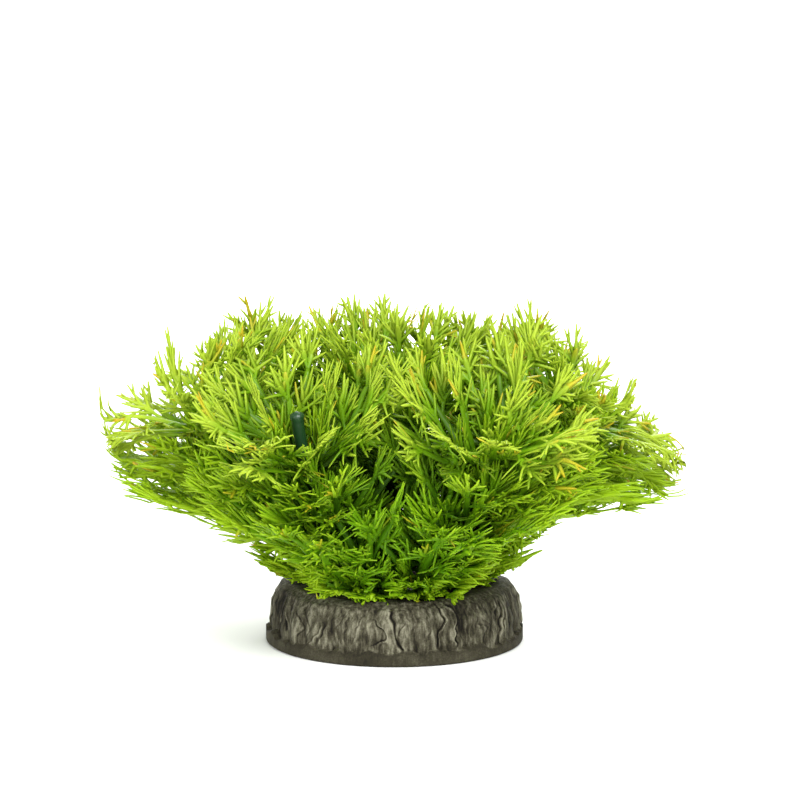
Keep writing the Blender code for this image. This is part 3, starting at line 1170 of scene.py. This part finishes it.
@dataclass(frozen=True)
class FrondPlastic:
    """Soft moulded plastic: green at the root, then lime, and chartreuse at the tips, with painted
    shade that turns it deep green inside the bush.

    The place on its colour ramp is tone_gain * tone + lift, shifted by painted shade and light
    (darker deep in the bush, paler at its top and wings), by each finger's own play and by broad
    noise. Some tips are gold, and they fade with the painted shade.
    """

    name: str
    deep: Colour
    leaf: Colour
    lime: Colour
    tip: Colour
    gold: Colour
    gold_share: float
    stops: tuple[float, float, float, float] = (0.04, 0.34, 0.66, 0.97)
    tone_gain: float = 0.75
    lift: float = 0.12
    # The painted shade deep in the bush: where it turns, and how strong it is
    painted_shade_middle: float = 0.80
    painted_shade_gain: float = 0.9
    play_gain: float = 0.05
    cloud_scale: float = 70.0
    cloud_gain: float = 0.40
    gold_from: float = 0.72
    gold_gain: float = 3.2
    grain_scale: float = 900.0
    grain_roughness: float = 0.16
    grain_depth: float = 0.0002
    least_roughness: float = 0.28
    index: float = 1.46
    specular: float = 0.25
    glow: float = 0.30

    def make(self) -> bpy.types.Material:
        """Makes the material, part of which lets light through from behind.

        Returns:
            The material.
        """
        s = Shader(self.name)
        tone = s.attribute("tone")
        lit_share = s.attribute("lit_share")
        play = s.attribute("play")
        cloud = s.noise(self.cloud_scale, 2.0)
        grain = s.noise(self.grain_scale, 3.0)
        # Painted shade and light: the ramp goes darker deep in the bush and paler at its top and
        # wings
        shift = s.past(lit_share, self.painted_shade_middle, self.painted_shade_gain)
        shift = s.add(shift, s.times(play, self.play_gain))
        shift = s.add(shift, s.past(cloud, 0.5, self.cloud_gain))
        value = s.add(s.times(tone, self.tone_gain), s.add(shift, self.lift), clamp=True)
        colours = (self.deep, self.leaf, self.lime, self.tip)
        plain = s.ramp(value, [Paint(*stop) for stop in zip(self.stops, colours)])
        ends = s.past(tone, self.gold_from, self.gold_gain, clamp=True)
        chosen = s.math("GREATER_THAN", play, 1 - 2 * self.gold_share)
        # The gold tips fade with the painted shade deep in the bush
        colour = s.mix(s.times(s.times(ends, chosen), lit_share), plain, (*self.gold, 1.0))
        rough = s.add(s.times(grain, self.grain_roughness), self.least_roughness)
        s.cover(Base_Color=colour, Roughness=rough, IOR=self.index)
        s.cover(Specular_IOR_Level=self.specular)
        s.bump(grain, self.grain_depth, 0.25)
        light = s.node("ShaderNodeBsdfTranslucent", {"Color": colour}).outputs["BSDF"]
        inputs = {0: self.glow, 1: s.shader.outputs["BSDF"], 2: light}
        s.feed(s.output.inputs["Surface"], s.node("ShaderNodeMixShader", inputs).outputs["Shader"])
        return s.material


@dataclass(frozen=True)
class TubePlastic:
    """The tubes' dark green plastic: two greens in soft clouds, and a fine moulded grain."""

    name: str = "stem_plastic"
    dark: Colour = (0.004, 0.026, 0.008)
    light: Colour = (0.014, 0.062, 0.016)
    cloud_scale: float = 140.0
    grain_scale: float = 1500.0
    grain_roughness: float = 0.2
    grain_depth: float = 0.0002
    least_roughness: float = 0.28

    def make(self) -> bpy.types.Material:
        """Makes the material.

        Returns:
            The material.
        """
        s = Shader(self.name)
        cloud = s.noise(self.cloud_scale, 3.0)
        grain = s.noise(self.grain_scale, 2.0)
        colour = s.mix(cloud, (*self.dark, 1.0), (*self.light, 1.0))
        rough = s.add(s.times(grain, self.grain_roughness), self.least_roughness)
        s.cover(Base_Color=colour, Roughness=rough)
        s.bump(grain, self.grain_depth, 0.3)
        return s.material


@dataclass(frozen=True)
class CarvedStone:
    """The base's casting: brown-grey, with painted shade in its creases and a painted highlight
    along its ridges.

    The place on its colour ramp is the carving's painted shade and light, shifted by broad noise,
    by streaks that run up the bark and by fine grit.
    """

    name: str = "carved_casting"
    stops: tuple[Paint, ...] = (
        Paint(0.08, (0.006, 0.0050, 0.0028)),
        Paint(0.34, (0.030, 0.0265, 0.0150)),
        Paint(0.60, (0.080, 0.0740, 0.0480)),
        Paint(1.00, (0.230, 0.2180, 0.1550)),
    )
    rim_bark: float = 0.15
    cloud_scale: float = 42.0
    cloud_gain: float = 0.75
    grit_scale: float = 1500.0
    grit_gain: float = 0.55
    grit_roughness: float = 0.25
    least_roughness: float = 0.66
    streak_scale: float = 620.0
    streak_upright: float = 0.20
    streak_gain: float = 1.7
    streak_height: float = 0.8
    bump_depth: float = 0.0010
    specular: float = 0.15

    def make(self) -> bpy.types.Material:
        """Makes the material.

        Returns:
            The material.
        """
        s = Shader(self.name)
        # The crease attribute is painted shade and light: darker in the carving's hollows, paler on
        # its raised parts
        crease = s.attribute("crease")
        bark = s.add(s.times(s.attribute("bark"), 1 - self.rim_bark), self.rim_bark)
        cloud = s.noise(self.cloud_scale, 5.0, 0.6)
        grit = s.noise(self.grit_scale, 4.0, 0.65)
        streak = s.noise(self.streak_scale, 5.0, 0.62, self.streak_upright)
        value = s.add(crease, s.past(cloud, 0.5, self.cloud_gain))
        value = s.add(value, s.past(streak, 0.5, s.times(bark, self.streak_gain)))
        value = s.add(value, s.past(grit, 0.5, self.grit_gain), clamp=True)
        rough = s.add(s.times(grit, self.grit_roughness), self.least_roughness)
        s.cover(Base_Color=s.ramp(value, self.stops), Roughness=rough)
        s.cover(Specular_IOR_Level=self.specular)
        raised = s.times(s.times(streak, bark), self.streak_height)
        s.bump(s.add(raised, s.times(grit, 1 - self.streak_height)), self.bump_depth, 0.7)
        return s.material


@dataclass
class Fronds:
    """Every frond of the bush: one dressed piece for each of the frame's.

    Rolls and turns are in degrees, and the spray's other plays are shares.
    """

    layout: Layout = field(default_factory=Layout)
    seed: int = 77
    spray_roll: float = 70.0
    roll_play: float = 18.0
    leave_play: float = 0.03
    turn_play: float = 10.0
    rise_play: float = 0.06
    reach_play: float = 0.12
    least_rise: float = 0.05
    foot_top: float = 0.11
    foot_rise: float = 0.01
    wing_pull: float = 0.45
    wing_level: float = 0.68
    made: list[bpy.types.Object] = field(default_factory=list)

    def build(self, finishes: dict[TierName, bpy.types.Material]) -> None:
        """Builds the pieces stem by stem, each in its solid's place.

        Args:
            finishes: the material of each tier.
        """
        for number, spot in enumerate(BUSH.spots(), start=1):
            facing, turns = self.layout.group(number)
            for name in TIERS:
                for count, turn in enumerate(turns[name], start=1):
                    blade = self.layout.blade(number, spot, facing + turn, name, count)
                    piece = self.frond(blade, number, name, count, finishes[name])
                    self.dress(piece, number, name, count)

    def frond(
        self, blade: Blade, number: int, name: TierName, count: int, finish: bpy.types.Material
    ) -> bpy.types.Object:
        """One frond: the blade on its solid's own sheet, and sprays that leave its rib.

        Args:
            blade: the solid's sheet.
            number: the stem's number.
            name: the frond's tier.
            count: its number in the tier.
            finish: its material.

        Returns:
            The frond's mesh object.
        """
        tier = TIERS[name]
        rng = np.random.default_rng((self.seed, number, list(TIERS).index(name), count))
        foliage = Foliage(tier.pattern)
        foliage.draw(blade, tier.size, rng)
        for spray in tier.sprays:
            foliage.draw(self.spray(blade, spray, rng), tier.size * spray.size, rng)
        return foliage.skin.build(f"{name.value}_frond_{number}_{count}", finish)

    def spray(self, blade: Blade, spray: Spray, rng: np.random.Generator) -> Blade:
        """A smaller blade that leaves a blade's rib to one side and fills the space next to it.

        At the foot it lies low. Elsewhere it is pulled to the wings' level by the square of its
        share of the way along them, and kept inside the bush's oval.

        Args:
            blade: the blade that it leaves.
            spray: its place and size.
            rng: the seeded source of its play.

        Returns:
            Its sheet.
        """
        draws = rng.uniform(-1, 1, 5)
        leave = np.array(max(0.0, spray.leave + self.leave_play * draws[0]))
        x, y, height = (float(each) for each in blade.plain(leave, 0 * leave))
        turn = blade.turn + math.radians(spray.turn + self.turn_play * draws[1])
        top = blade.root + (blade.tip - blade.root) * (spray.rise + self.rise_play * draws[2])
        reach = spray.reach * (1 + self.reach_play * draws[3])
        roll = math.radians(self.spray_roll * math.cos(turn) + self.roll_play * draws[4])
        if top < self.foot_top:
            top = max(top, height + self.foot_rise)
            return Blade((x, y), turn, height, top, 0.0, reach, roll, least_rise=0.0)
        tip = (x + reach * math.cos(turn), y + reach * math.sin(turn))
        top += self.wing_pull * BUSH.wing_share(tip[0]) ** 2 * (self.wing_level - top)
        reach /= max(1.0, BUSH.way_out(*tip)) ** 2
        return Blade((x, y), turn, height, max(top, height + self.least_rise), 0.0, reach, roll)

    def dress(self, piece: bpy.types.Object, number: int, name: TierName, count: int) -> None:
        """Puts a piece on its body, in place of its solid.

        Args:
            piece: the frond's mesh object.
            number: the stem's number.
            name: the frond's tier.
            count: its number in the tier.
        """
        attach(piece, BODY)
        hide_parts(f"frond_{number}_{name.value}_{count}")
        self.made.append(piece)


@dataclass
class Stems:
    """The upright tubes, each with a small cap at its head.

    Lengths are in metres and heads in the bush's height. Places and widths along a tube are shares
    of its height, and swells are shares of its radius.
    """

    diameter: float = 0.0052
    head: float = 0.61
    tall_stem: int = 6
    tall_head: float = 0.82
    socket_depth: float = 0.008
    gap: float = 0.0003
    joints: int = 7
    joint_width: float = 0.05
    joint_swell: float = 0.07
    cap_start: float = 0.955
    cap_edge: float = 0.01
    cap_swell: float = 0.22
    dome: float = 0.03
    dome_top: float = 0.15
    sides: int = 20
    stations: int = 60
    made: list[bpy.types.Object] = field(default_factory=list)

    def build(self, finish: bpy.types.Material) -> None:
        """Builds one tube in each socket.

        Args:
            finish: their material.
        """
        for number, spot in enumerate(BUSH.spots(), start=1):
            piece = self.tube(number, spot, finish)
            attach(piece, BODY)
            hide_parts(f"stem_{number}")
            self.made.append(piece)

    def radius(self, share: np.ndarray) -> np.ndarray:
        """The tube's radius along it, in metres.

        It is the stem's own, plus narrow bell-shaped rings at even heights and the cap's swell,
        times a quarter circle at the head.

        Args:
            share: places along the tube, from 0 to 1.

        Returns:
            The radius at each.
        """
        rings = np.exp(-(((share * self.joints) % 1 - 0.5) / self.joint_width) ** 2)
        cap = np.clip((share - self.cap_start) / self.cap_edge, 0, 1)
        past = np.clip((share - (1 - self.dome)) / self.dome, 0, 1)
        close = np.sqrt(np.clip(1 - past**2, 0, 1))
        swollen = 1 + self.joint_swell * rings + self.cap_swell * cap
        return self.diameter / 2 * swollen * (self.dome_top + (1 - self.dome_top) * close)

    def tube(self, number: int, spot: Spot, finish: bpy.types.Material) -> bpy.types.Object:
        """A round section along the stem's line, from the socket's floor to the head.

        Args:
            number: the stem's number.
            spot: its place in the plain space.
            finish: its material.

        Returns:
            The tube's mesh object.
        """
        head = self.tall_head if number == self.tall_stem else self.head
        heights = np.linspace(0, head, self.stations)
        line = BUSH.place(spot[0] + 0 * heights, spot[1] + 0 * heights, heights)
        foot = line[0] - np.array([0.0, 0.0, self.socket_depth - self.gap])
        line = np.vstack([foot, foot + (line[0] - foot) * 0.5, line])
        wide = self.radius(np.concatenate([[0.0, 0.0], heights / head]))[None]
        facing = np.zeros_like(line)[None] + np.array([0.0, 1.0, 0.0])
        skin = Skin()
        sweep(skin, line[None], facing, wide, wide, 0 * wide, self.sides, {})
        return skin.build(f"stem_tube_{number}", finish)


@dataclass(frozen=True)
class Swell:
    """A broad wave round the wall: how many there are, their lean, their phase and their height."""

    waves: int
    lean: float
    phase: float
    share: float


@dataclass(frozen=True)
class Bark:
    """The carving on the base's wall: folds, chips, fine scratches and overlapping flakes.

    Lengths are in metres and angles in radians. Shades are shares of the paint's range, and they
    paint shade into the carving: darker in the folds' creases, the chips' hollows, the scratches'
    grooves and the splits, with painted light on the raised flakes and a painted highlight on their
    ridges. A grid is how many random waves go round the wall, how many go up it, and the draw's
    seed.
    """

    radius: float = 0.056
    height: float = 0.026
    fold_depth: float = 0.0016
    fold_count: int = 22
    fold_slant: float = 3.0
    fold_wander: float = 0.08
    fold_middle: float = 0.45
    swells: tuple[Swell, ...] = (Swell(3, 0.0, 0.7, 0.35), Swell(7, -12.0, 0.0, 0.30))
    chip_depth: float = 0.0010
    chip_grid: tuple[int, int, int] = (46, 6, 33)
    scratch_depth: float = 0.0003
    scratch_sway: float = 0.06
    sway_grid: tuple[int, int, int] = (60, 6, 23)
    scratch_grids: tuple[tuple[int, int, int], ...] = ((120, 4, 25), (230, 7, 27))
    edge_height: float = 0.0053
    edge_play: float = 0.0022
    edge_grids: tuple[tuple[int, int, int], ...] = ((60, 1, 41), (150, 1, 43))
    flake_depth: float = 0.0010
    flake_middle: float = 0.3
    flake_count: int = 66
    flake_seed: int = 51
    flake_place: float = 0.8
    flake_slant: float = 7.0
    flake_wave: float = 0.008
    flake_waves: tuple[float, float] = (240.0, 320.0)
    torn: tuple[float, float] = (0.16, 0.05)
    torn_grids: tuple[tuple[int, int, int], ...] = ((34, 4, 61), (90, 10, 63))
    flake_foot: tuple[float, float] = (0.0035, 0.006)
    flake_head: tuple[float, float] = (0.016, 0.012)
    flake_fade: float = 0.002
    least_shown: float = 0.18
    raised_width: float = 0.0045
    step_width: float = 0.0003
    ridge_place: float = 0.00035
    ridge_width: float = 0.00045
    split_depth: float = 0.0010
    split_place: float = 0.00060
    split_width: float = 0.00050
    # Painted shade and light of the carving: darker in folds, scratches, chips and splits, paler on
    # flakes, a painted highlight on the flakes' ridges
    middle_shade: float = 0.44
    fold_shade: float = 0.20
    scratch_shade: float = 0.26
    chip_shade: float = 0.34
    flake_shade: float = 0.12
    ridge_highlight: float = 0.45
    split_shade: float = 0.90

    def waves(self, turn: np.ndarray, height: np.ndarray, grid: tuple[int, int, int]) -> np.ndarray:
        """Smooth random waves on the wall, whose pattern closes round it.

        Values drawn on a grid are blended by the cubic 3 t^2 - 2 t^3 both ways.

        Args:
            turn: angle round the base.
            height: height on the wall.
            grid: the waves round the wall and up it, and the seed.

        Returns:
            Values from 0 to 1.
        """
        around, upward, seed = grid
        values = np.random.default_rng(seed).random((upward + 2, around))
        column = turn / math.tau * around
        row = np.clip(height / self.height, 0, 1) * upward
        left, low = np.floor(column).astype(int), np.floor(row).astype(int)
        right, high = (left + 1) % around, low + 1
        across, up = column - left, row - low
        left = left % around
        across, up = across * across * (3 - 2 * across), up * up * (3 - 2 * up)
        lower = values[low, left] * (1 - across) + values[low, right] * across
        upper = values[high, left] * (1 - across) + values[high, right] * across
        return lower * (1 - up) + upper * up

    def fold(self, turn: np.ndarray, height: np.ndarray) -> np.ndarray:
        """How far the folds stand out, in their own depths.

        Each is a hump of |sin| - 1, with a sharp crease to the next, over the broad swells.

        Args:
            turn: angle round the base.
            height: height on the wall.

        Returns:
            The folds' reach, mostly between -1 and 0.
        """
        slant = turn + self.fold_slant * height + self.fold_wander * np.sin(5 * turn)
        reach = np.abs(np.sin(self.fold_count / 2 * slant)) - 1
        for swell in self.swells:
            wave = np.sin(swell.waves * turn + swell.lean * height + swell.phase)
            reach = reach + swell.share * wave
        return reach

    def flakes(
        self, turn: np.ndarray, height: np.ndarray
    ) -> tuple[np.ndarray, np.ndarray, np.ndarray]:
        """Overlapping flakes, whose edges wander up the wall between their own two ends.

        Each edge's place round the wall is its own turn, plus a slant, a wave of the height and
        random waves that tear it. On its one side the flake stands out and thins away, and close
        to its other side is a split. The profiles across it are exponential and bell curves.

        Args:
            turn: angle round the base.
            height: height on the wall.

        Returns:
            How far the flakes stand out, their ridges for a painted highlight and the splits beside
            them for painted shade, each 0 to 1.
        """
        draws = np.random.default_rng(self.flake_seed).random((8, self.flake_count, 1, 1))
        own = np.arange(self.flake_count)[:, None, None] + self.flake_place * draws[0]
        line = math.tau * own / self.flake_count
        line = line + self.flake_slant * (draws[1] - 0.5) * (height - self.height / 2)
        rate = self.flake_waves[0] + self.flake_waves[1] * draws[2]
        line = line + self.flake_wave * np.sin(height * rate + math.tau * draws[3])
        broad, fine = (self.waves(turn, height, grid) - 0.5 for grid in self.torn_grids)
        torn = self.torn[0] * broad + self.torn[1] * fine
        off = ((turn + torn - line + math.pi) % math.tau - math.pi) * (2 * self.radius) / 2
        off = np.where(draws[4] > 0.5, off, -off)
        foot = self.flake_foot[0] + self.flake_foot[1] * draws[5]
        head = self.flake_head[0] + self.flake_head[1] * draws[6]
        shown = np.clip((height - foot) / self.flake_fade, 0, 1)
        shown = shown * np.clip((head - height) / self.flake_fade, 0, 1)
        shown = shown * (self.least_shown + (1 - self.least_shown) * draws[7] ** 2)
        raised = np.where(off > 0, np.exp(-off / self.raised_width), np.exp(off / self.step_width))
        ridge = np.exp(-(((off - self.ridge_place) / self.ridge_width) ** 2))
        split = np.exp(-(((off + self.split_place) / self.split_width) ** 2))
        return tuple((shown * each).max(axis=0) for each in (raised, ridge, split))

    def scratches(self, turn: np.ndarray, height: np.ndarray) -> np.ndarray:
        """Fine carved upright lines that sway a little, in two sizes of waves.

        Args:
            turn: angle round the base.
            height: height on the wall.

        Returns:
            Values from -1 to 1.
        """
        bent = turn + self.scratch_sway * (self.waves(turn, height, self.sway_grid) - 0.5)
        coarse, fine = (self.waves(bent, height, grid) for grid in self.scratch_grids)
        return coarse + fine - 1

    def edge(self, turn: np.ndarray) -> np.ndarray:
        """Height of the bark's ragged lower edge: a line over the rim, with waves in it."""
        broad, fine = (self.waves(turn, 0 * turn, grid) for grid in self.edge_grids)
        return self.edge_height + self.edge_play * (broad + fine - 1)

    def carve(
        self, turn: np.ndarray, height: np.ndarray
    ) -> tuple[np.ndarray, np.ndarray, np.ndarray]:
        """The whole carving: a sum of its marks, each by its own depth and its own shade, which
        paints shade into the hollows and light onto the raised parts.

        Args:
            turn: angle round the base.
            height: height on the wall.

        Returns:
            How far the wall stands out in metres, its painted shade and light, and the scratches
            alone.
        """
        fold = self.fold(turn, height)
        scratch = self.scratches(turn, height)
        flake, ridge, split = self.flakes(turn, height)
        chips = self.waves(turn, height, self.chip_grid) - 0.5
        relief = self.scratch_depth * scratch + self.chip_depth * chips
        relief = relief + self.flake_depth * (flake - self.flake_middle) - self.split_depth * split
        # Painted shade and light: darker where the carving sinks, paler where it stands out
        shade = self.middle_shade + self.fold_shade * (fold + self.fold_middle)
        shade = shade + self.scratch_shade * scratch + self.chip_shade * chips
        shade = shade + self.flake_shade * flake + self.ridge_highlight * ridge
        shade = shade - self.split_shade * split
        return self.fold_depth * fold + relief, shade, scratch


@dataclass(frozen=True)
class Rung:
    """A height of the base's outline, as a share of its whole height.

    Inward is how far the outline has come from the wall to the planted top, and carved is how much
    of the bark's carving it has.
    """

    height: float
    inward: float
    carved: float


@dataclass
class Base:
    """The round weighted base: a carved wall over a plain rim, and a rough top.

    Lengths are in metres, and shades are shares of the paint's range.
    """

    bark: Bark = Bark()
    wall_inset: float = 0.0014
    planted_radius: float = 0.045
    outline: tuple[Rung, ...] = (
        Rung(0.4, 0.0, 1.0),
        Rung(0.7, 0.1, 1.0),
        Rung(0.9, 0.4, 0.8),
        Rung(1.0, 1.0, 0.0),
    )
    skirt_out: float = 0.0003
    skirt_height: float = 0.0022
    edge_step: float = 0.0004
    rim_reach: float = 0.0557
    rim_rounding: float = 0.0010
    rim_inset: float = 0.0008
    rim_shade: float = 0.38
    rim_scratch: float = 0.05
    # A painted shadow below the bark's overhanging edge: its strength, drop and width
    edge_shadow: float = 0.07
    line_drop: float = 0.0004
    line_width: float = 0.0008
    smooth_shade: float = 0.50
    top_dip: float = 0.0004
    top_bumps: float = 0.0005
    top_steepness: float = 8.0
    top_shade: float = 0.42
    # Painted shade in the top's hollows
    bump_shade: float = 0.16
    under_shade: float = 0.35
    under_share: float = 0.985
    around: int = 900
    wall_rows: int = 60
    top_rows: int = 14

    def wall(
        self, turn: np.ndarray
    ) -> tuple[np.ndarray, np.ndarray, np.ndarray, np.ndarray]:
        """The carved wall, and the plain rim below the bark's edge.

        The bark's outline is read on straight lines between the rungs. Close over its edge it
        stands out a little further, by an exponential. A soft painted shadow runs below the edge.

        Args:
            turn: angles round the base, one for each column of points.

        Returns:
            The distance from the middle, the height, the shade and how much of it is bark, each
            with one row for each ring of points.
        """
        height = self.bark.height
        turns, z = np.meshgrid(turn, np.linspace(0.0, height, self.wall_rows + 1)[1:])
        rim = self.bark.radius
        wall = rim - self.wall_inset
        heights = [rung.height * height for rung in self.outline]
        reaches = [wall - rung.inward * (wall - self.planted_radius) for rung in self.outline]
        carved = np.interp(z, heights, [rung.carved for rung in self.outline])
        relief, shade, scratch = self.bark.carve(turns, z)
        over = z - self.bark.edge(turns)
        bark = np.clip(over / self.edge_step, 0, 1)
        skirt = self.skirt_out * np.exp(-np.maximum(over, 0) / self.skirt_height)
        side = np.minimum(np.interp(z, heights, reaches) + skirt + carved * relief, rim)
        band = self.rim_reach - self.rim_inset * np.clip(1 - z / self.rim_rounding, 0, 1) ** 2
        side = bark * side + (1 - bark) * band
        shade = self.smooth_shade * (1 - carved) + carved * shade
        shade = bark * shade + (1 - bark) * (self.rim_shade + self.rim_scratch * scratch)
        # The painted shadow that the bark's edge casts on the rim
        line = np.exp(-(((over + self.line_drop) / self.line_width) ** 2))
        return side, z, shade - self.edge_shadow * line, bark

    def top(self, turn: np.ndarray, rim: np.ndarray) -> tuple[np.ndarray, np.ndarray, np.ndarray]:
        """The rough top, in rings that shrink evenly from the wall's last one.

        Its bumps are the product of two sine waves, each bent by a sine of the other direction.
        Its hollows get painted shade.

        Args:
            turn: angles round the base.
            rim: the wall's last ring, as distances from the middle.

        Returns:
            The distance from the middle, the height and the shade, one row for each ring.
        """
        inner = np.linspace(1, 0, self.top_rows + 1)[1:-1, None] * np.ones_like(turn)
        side = rim * inner
        x, y = side * np.cos(turn), side * np.sin(turn)
        bumps = np.sin(310 * x + 2 * np.sin(190 * y)) * np.sin(260 * y + 1.5 * np.sin(230 * x))
        grown = np.clip((1 - inner) * self.top_steepness, 0, 1)
        z = self.bark.height - self.top_dip - self.top_bumps * bumps * grown
        return side, z, self.top_shade - self.bump_shade * bumps

    def build(self, finish: bpy.types.Material) -> bpy.types.Object:
        """Turns the outline with the carving on it into one closed mesh.

        Args:
            finish: its material.

        Returns:
            The base's mesh object.
        """
        turn = math.tau * np.arange(self.around) / self.around
        side, z, shade, bark = self.wall(turn)
        top_side, top_z, top_shade = self.top(turn, side[-1])
        side, z = np.concatenate([side, top_side]), np.concatenate([z, top_z])
        points = np.stack([side * np.cos(turn), side * np.sin(turn), z], axis=-1).reshape(-1, 3)
        inset = points[: self.around] * np.array([self.under_share, self.under_share, 0.0])
        poles = np.array([[0.0, 0.0, 0.0], [0.0, 0.0, self.bark.height - self.top_dip]])
        ring = np.arange(self.around)
        following = (ring + 1) % self.around
        bottom = len(points)
        pole = bottom + self.around
        last = bottom - self.around
        under = np.stack([ring + bottom, following + bottom, following, ring], axis=-1)
        closing = [
            np.stack([0 * ring + pole, following + bottom, ring + bottom], axis=-1),
            np.stack([ring + last, following + last, 0 * ring + pole + 1], axis=-1),
        ]
        below = self.around + 2
        # The crease values carry the painted shade and light of the carving, the shadow line and
        # the top
        told = {
            "crease": np.concatenate(
                [shade.ravel(), top_shade.ravel(), np.full(below, self.under_shade)]
            ),
            "bark": np.concatenate([bark.ravel(), np.full(top_z.size, 0.5), np.zeros(below)]),
        }
        quads = band_quads(len(z), self.around).reshape(-1, 4)
        skin = Skin()
        skin.add(
            np.concatenate([points, inset, poles]),
            np.concatenate([quads, under]),
            np.concatenate(closing),
            told,
        )
        piece = skin.build("carved_base", finish)
        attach(piece, BODY)
        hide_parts("base")
        return piece


@dataclass(frozen=True)
class Lamp:
    """A square area light: its place, its size in metres, its power and what it looks at."""

    name: str
    place: Point
    size: float
    power: float
    target: Point | None = None

    def hang(self, subject: Point) -> None:
        """Puts the light in the scene.

        Args:
            subject: what it looks at, unless it has a target of its own.
        """
        data = bpy.data.lights.new(self.name, "AREA")
        data.size = self.size
        data.energy = self.power
        lamp = bpy.data.objects.new(self.name, data)
        lamp.location = self.place
        aim = Vector(self.target or subject) - Vector(self.place)
        lamp.rotation_euler = aim.to_track_quat("-Z", "Y").to_euler()
        bpy.context.scene.collection.objects.link(lamp)


@dataclass
class Studio:
    """A pale sweep, soft lights and the camera at the photographed angle.

    Lengths are in metres, the elevation is in degrees and the sensor in millimetres.
    """

    target: Point = (0.0024, 0.0, 0.105)
    elevation: float = 10.0
    distance: float = 2.0
    view_width: float = 0.344
    sensor: float = 36.0
    world_strength: float = 0.55
    sweep_radius: float = 1.2
    sweep_back: float = 1.6
    sweep_front: float = -3.0
    sweep_side: float = 4.0
    sweep_top: float = 5.0
    paper: Colour = (0.90, 0.90, 0.90)
    paper_roughness: float = 0.9
    lamps: tuple[Lamp, ...] = (
        Lamp("key", (0.35, -0.95, 1.00), 0.70, 24.0),
        Lamp("fill", (-0.95, -0.80, 0.45), 0.90, 9.0),
        Lamp("rim", (0.15, 0.95, 0.95), 0.80, 12.0),
        Lamp("backdrop", (0.0, 0.9, 1.9), 1.60, 90.0, (0.0, 2.8, 0.9)),
    )

    def build(self) -> None:
        """Makes the stage, the lights and the camera."""
        self.sweep_stage()
        for lamp in self.lamps:
            lamp.hang(self.target)
        world = bpy.data.worlds.new("studio")
        world.use_nodes = True
        backdrop = world.node_tree.nodes["Background"]
        backdrop.inputs["Color"].default_value = (1.0, 1.0, 1.0, 1.0)
        backdrop.inputs["Strength"].default_value = self.world_strength
        bpy.context.scene.world = world
        bpy.context.scene.view_settings.view_transform = "Standard"
        self.camera()

    def sweep_stage(self) -> None:
        """A floor that curves up behind the object: a quarter circle between two straight runs."""
        radius, back = self.sweep_radius, self.sweep_back
        angle = np.linspace(0, math.pi / 2, 24)
        y = np.concatenate([[self.sweep_front], back + radius * np.sin(angle), [back + radius]])
        z = np.concatenate([[0.0], radius - radius * np.cos(angle), [self.sweep_top]])
        edges = [np.stack([0 * y + side, y, z], -1) for side in (-self.sweep_side, self.sweep_side)]
        row = 2 * np.arange(len(y) - 1)
        faces = np.stack([row, row + 1, row + 3, row + 2], -1)
        mesh = bpy.data.meshes.new("sweep")
        mesh.from_pydata(np.stack(edges, 1).reshape(-1, 3).tolist(), [], faces.tolist())
        mesh.polygons.foreach_set("use_smooth", np.ones(len(faces), bool))
        s = Shader("pale_paper")
        s.cover(Base_Color=(*self.paper, 1.0), Roughness=self.paper_roughness)
        mesh.materials.append(s.material)
        stage = bpy.data.objects.new("sweep", mesh)
        bpy.context.scene.collection.objects.link(stage)

    def camera(self) -> None:
        """A long lens, from the front and a little above, whose picture spans the view width."""
        data = bpy.data.cameras.new("camera")
        data.sensor_width = self.sensor
        data.lens = self.sensor * self.distance / self.view_width
        eye = bpy.data.objects.new("camera", data)
        rise = math.radians(self.elevation)
        away = Vector((0.0, -math.cos(rise), math.sin(rise))) * self.distance
        eye.location = Vector(self.target) + away
        eye.rotation_euler = (-away).to_track_quat("-Z", "Y").to_euler()
        bpy.context.scene.collection.objects.link(eye)
        bpy.context.scene.camera = eye


# One plastic in lit and shaded copies: the mid tier's darker ramp is painted shade inside the bush,
# and the low tier's brighter leaf and lime are painted light at the foot
FINISHES = {
    TierName.CROWN: FrondPlastic(
        "crown_plastic",
        deep=(0.020, 0.062, 0.002),
        leaf=(0.082, 0.208, 0.003),
        lime=(0.190, 0.385, 0.005),
        tip=(0.465, 0.620, 0.040),
        gold=(0.640, 0.470, 0.020),
        gold_share=0.07,
    ),
    TierName.MID: FrondPlastic(
        "mid_shaded_plastic",
        deep=(0.018, 0.054, 0.002),
        leaf=(0.060, 0.168, 0.003),
        lime=(0.148, 0.325, 0.005),
        tip=(0.350, 0.540, 0.012),
        gold=(0.600, 0.450, 0.020),
        gold_share=0.04,
    ),
    TierName.LOW: FrondPlastic(
        "low_lit_plastic",
        deep=(0.016, 0.050, 0.002),
        leaf=(0.084, 0.240, 0.003),
        lime=(0.196, 0.435, 0.005),
        tip=(0.400, 0.620, 0.014),
        gold=(0.580, 0.470, 0.020),
        gold_share=0.02,
    ),
}


def corners(bounds: Sequence[Sequence[float]]) -> list[list[float]]:
    """A box's two corners as plain lists of numbers."""
    return [[float(number) for number in corner] for corner in bounds]


def main() -> None:
    """Builds the base, the tubes and the fronds on the frame, then the studio."""
    logging.basicConfig(level=logging.INFO, format="%(message)s")
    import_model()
    base = Base().build(CarvedStone().make())
    log.info("base: %s, %d faces", base.name, len(base.data.polygons))
    stems = Stems()
    stems.build(TubePlastic().make())
    log.info("stems: %d tubes", len(stems.made))
    fronds = Fronds()
    fronds.build({name: finish.make() for name, finish in FINISHES.items()})
    faces = [len(piece.data.polygons) for piece in fronds.made]
    log.info("fronds: %d pieces, %d faces, at most %d in one", len(faces), sum(faces), max(faces))
    Studio().build()
    log.info("studio: stage, lights and camera")


if __name__ == "__main__":
    main()
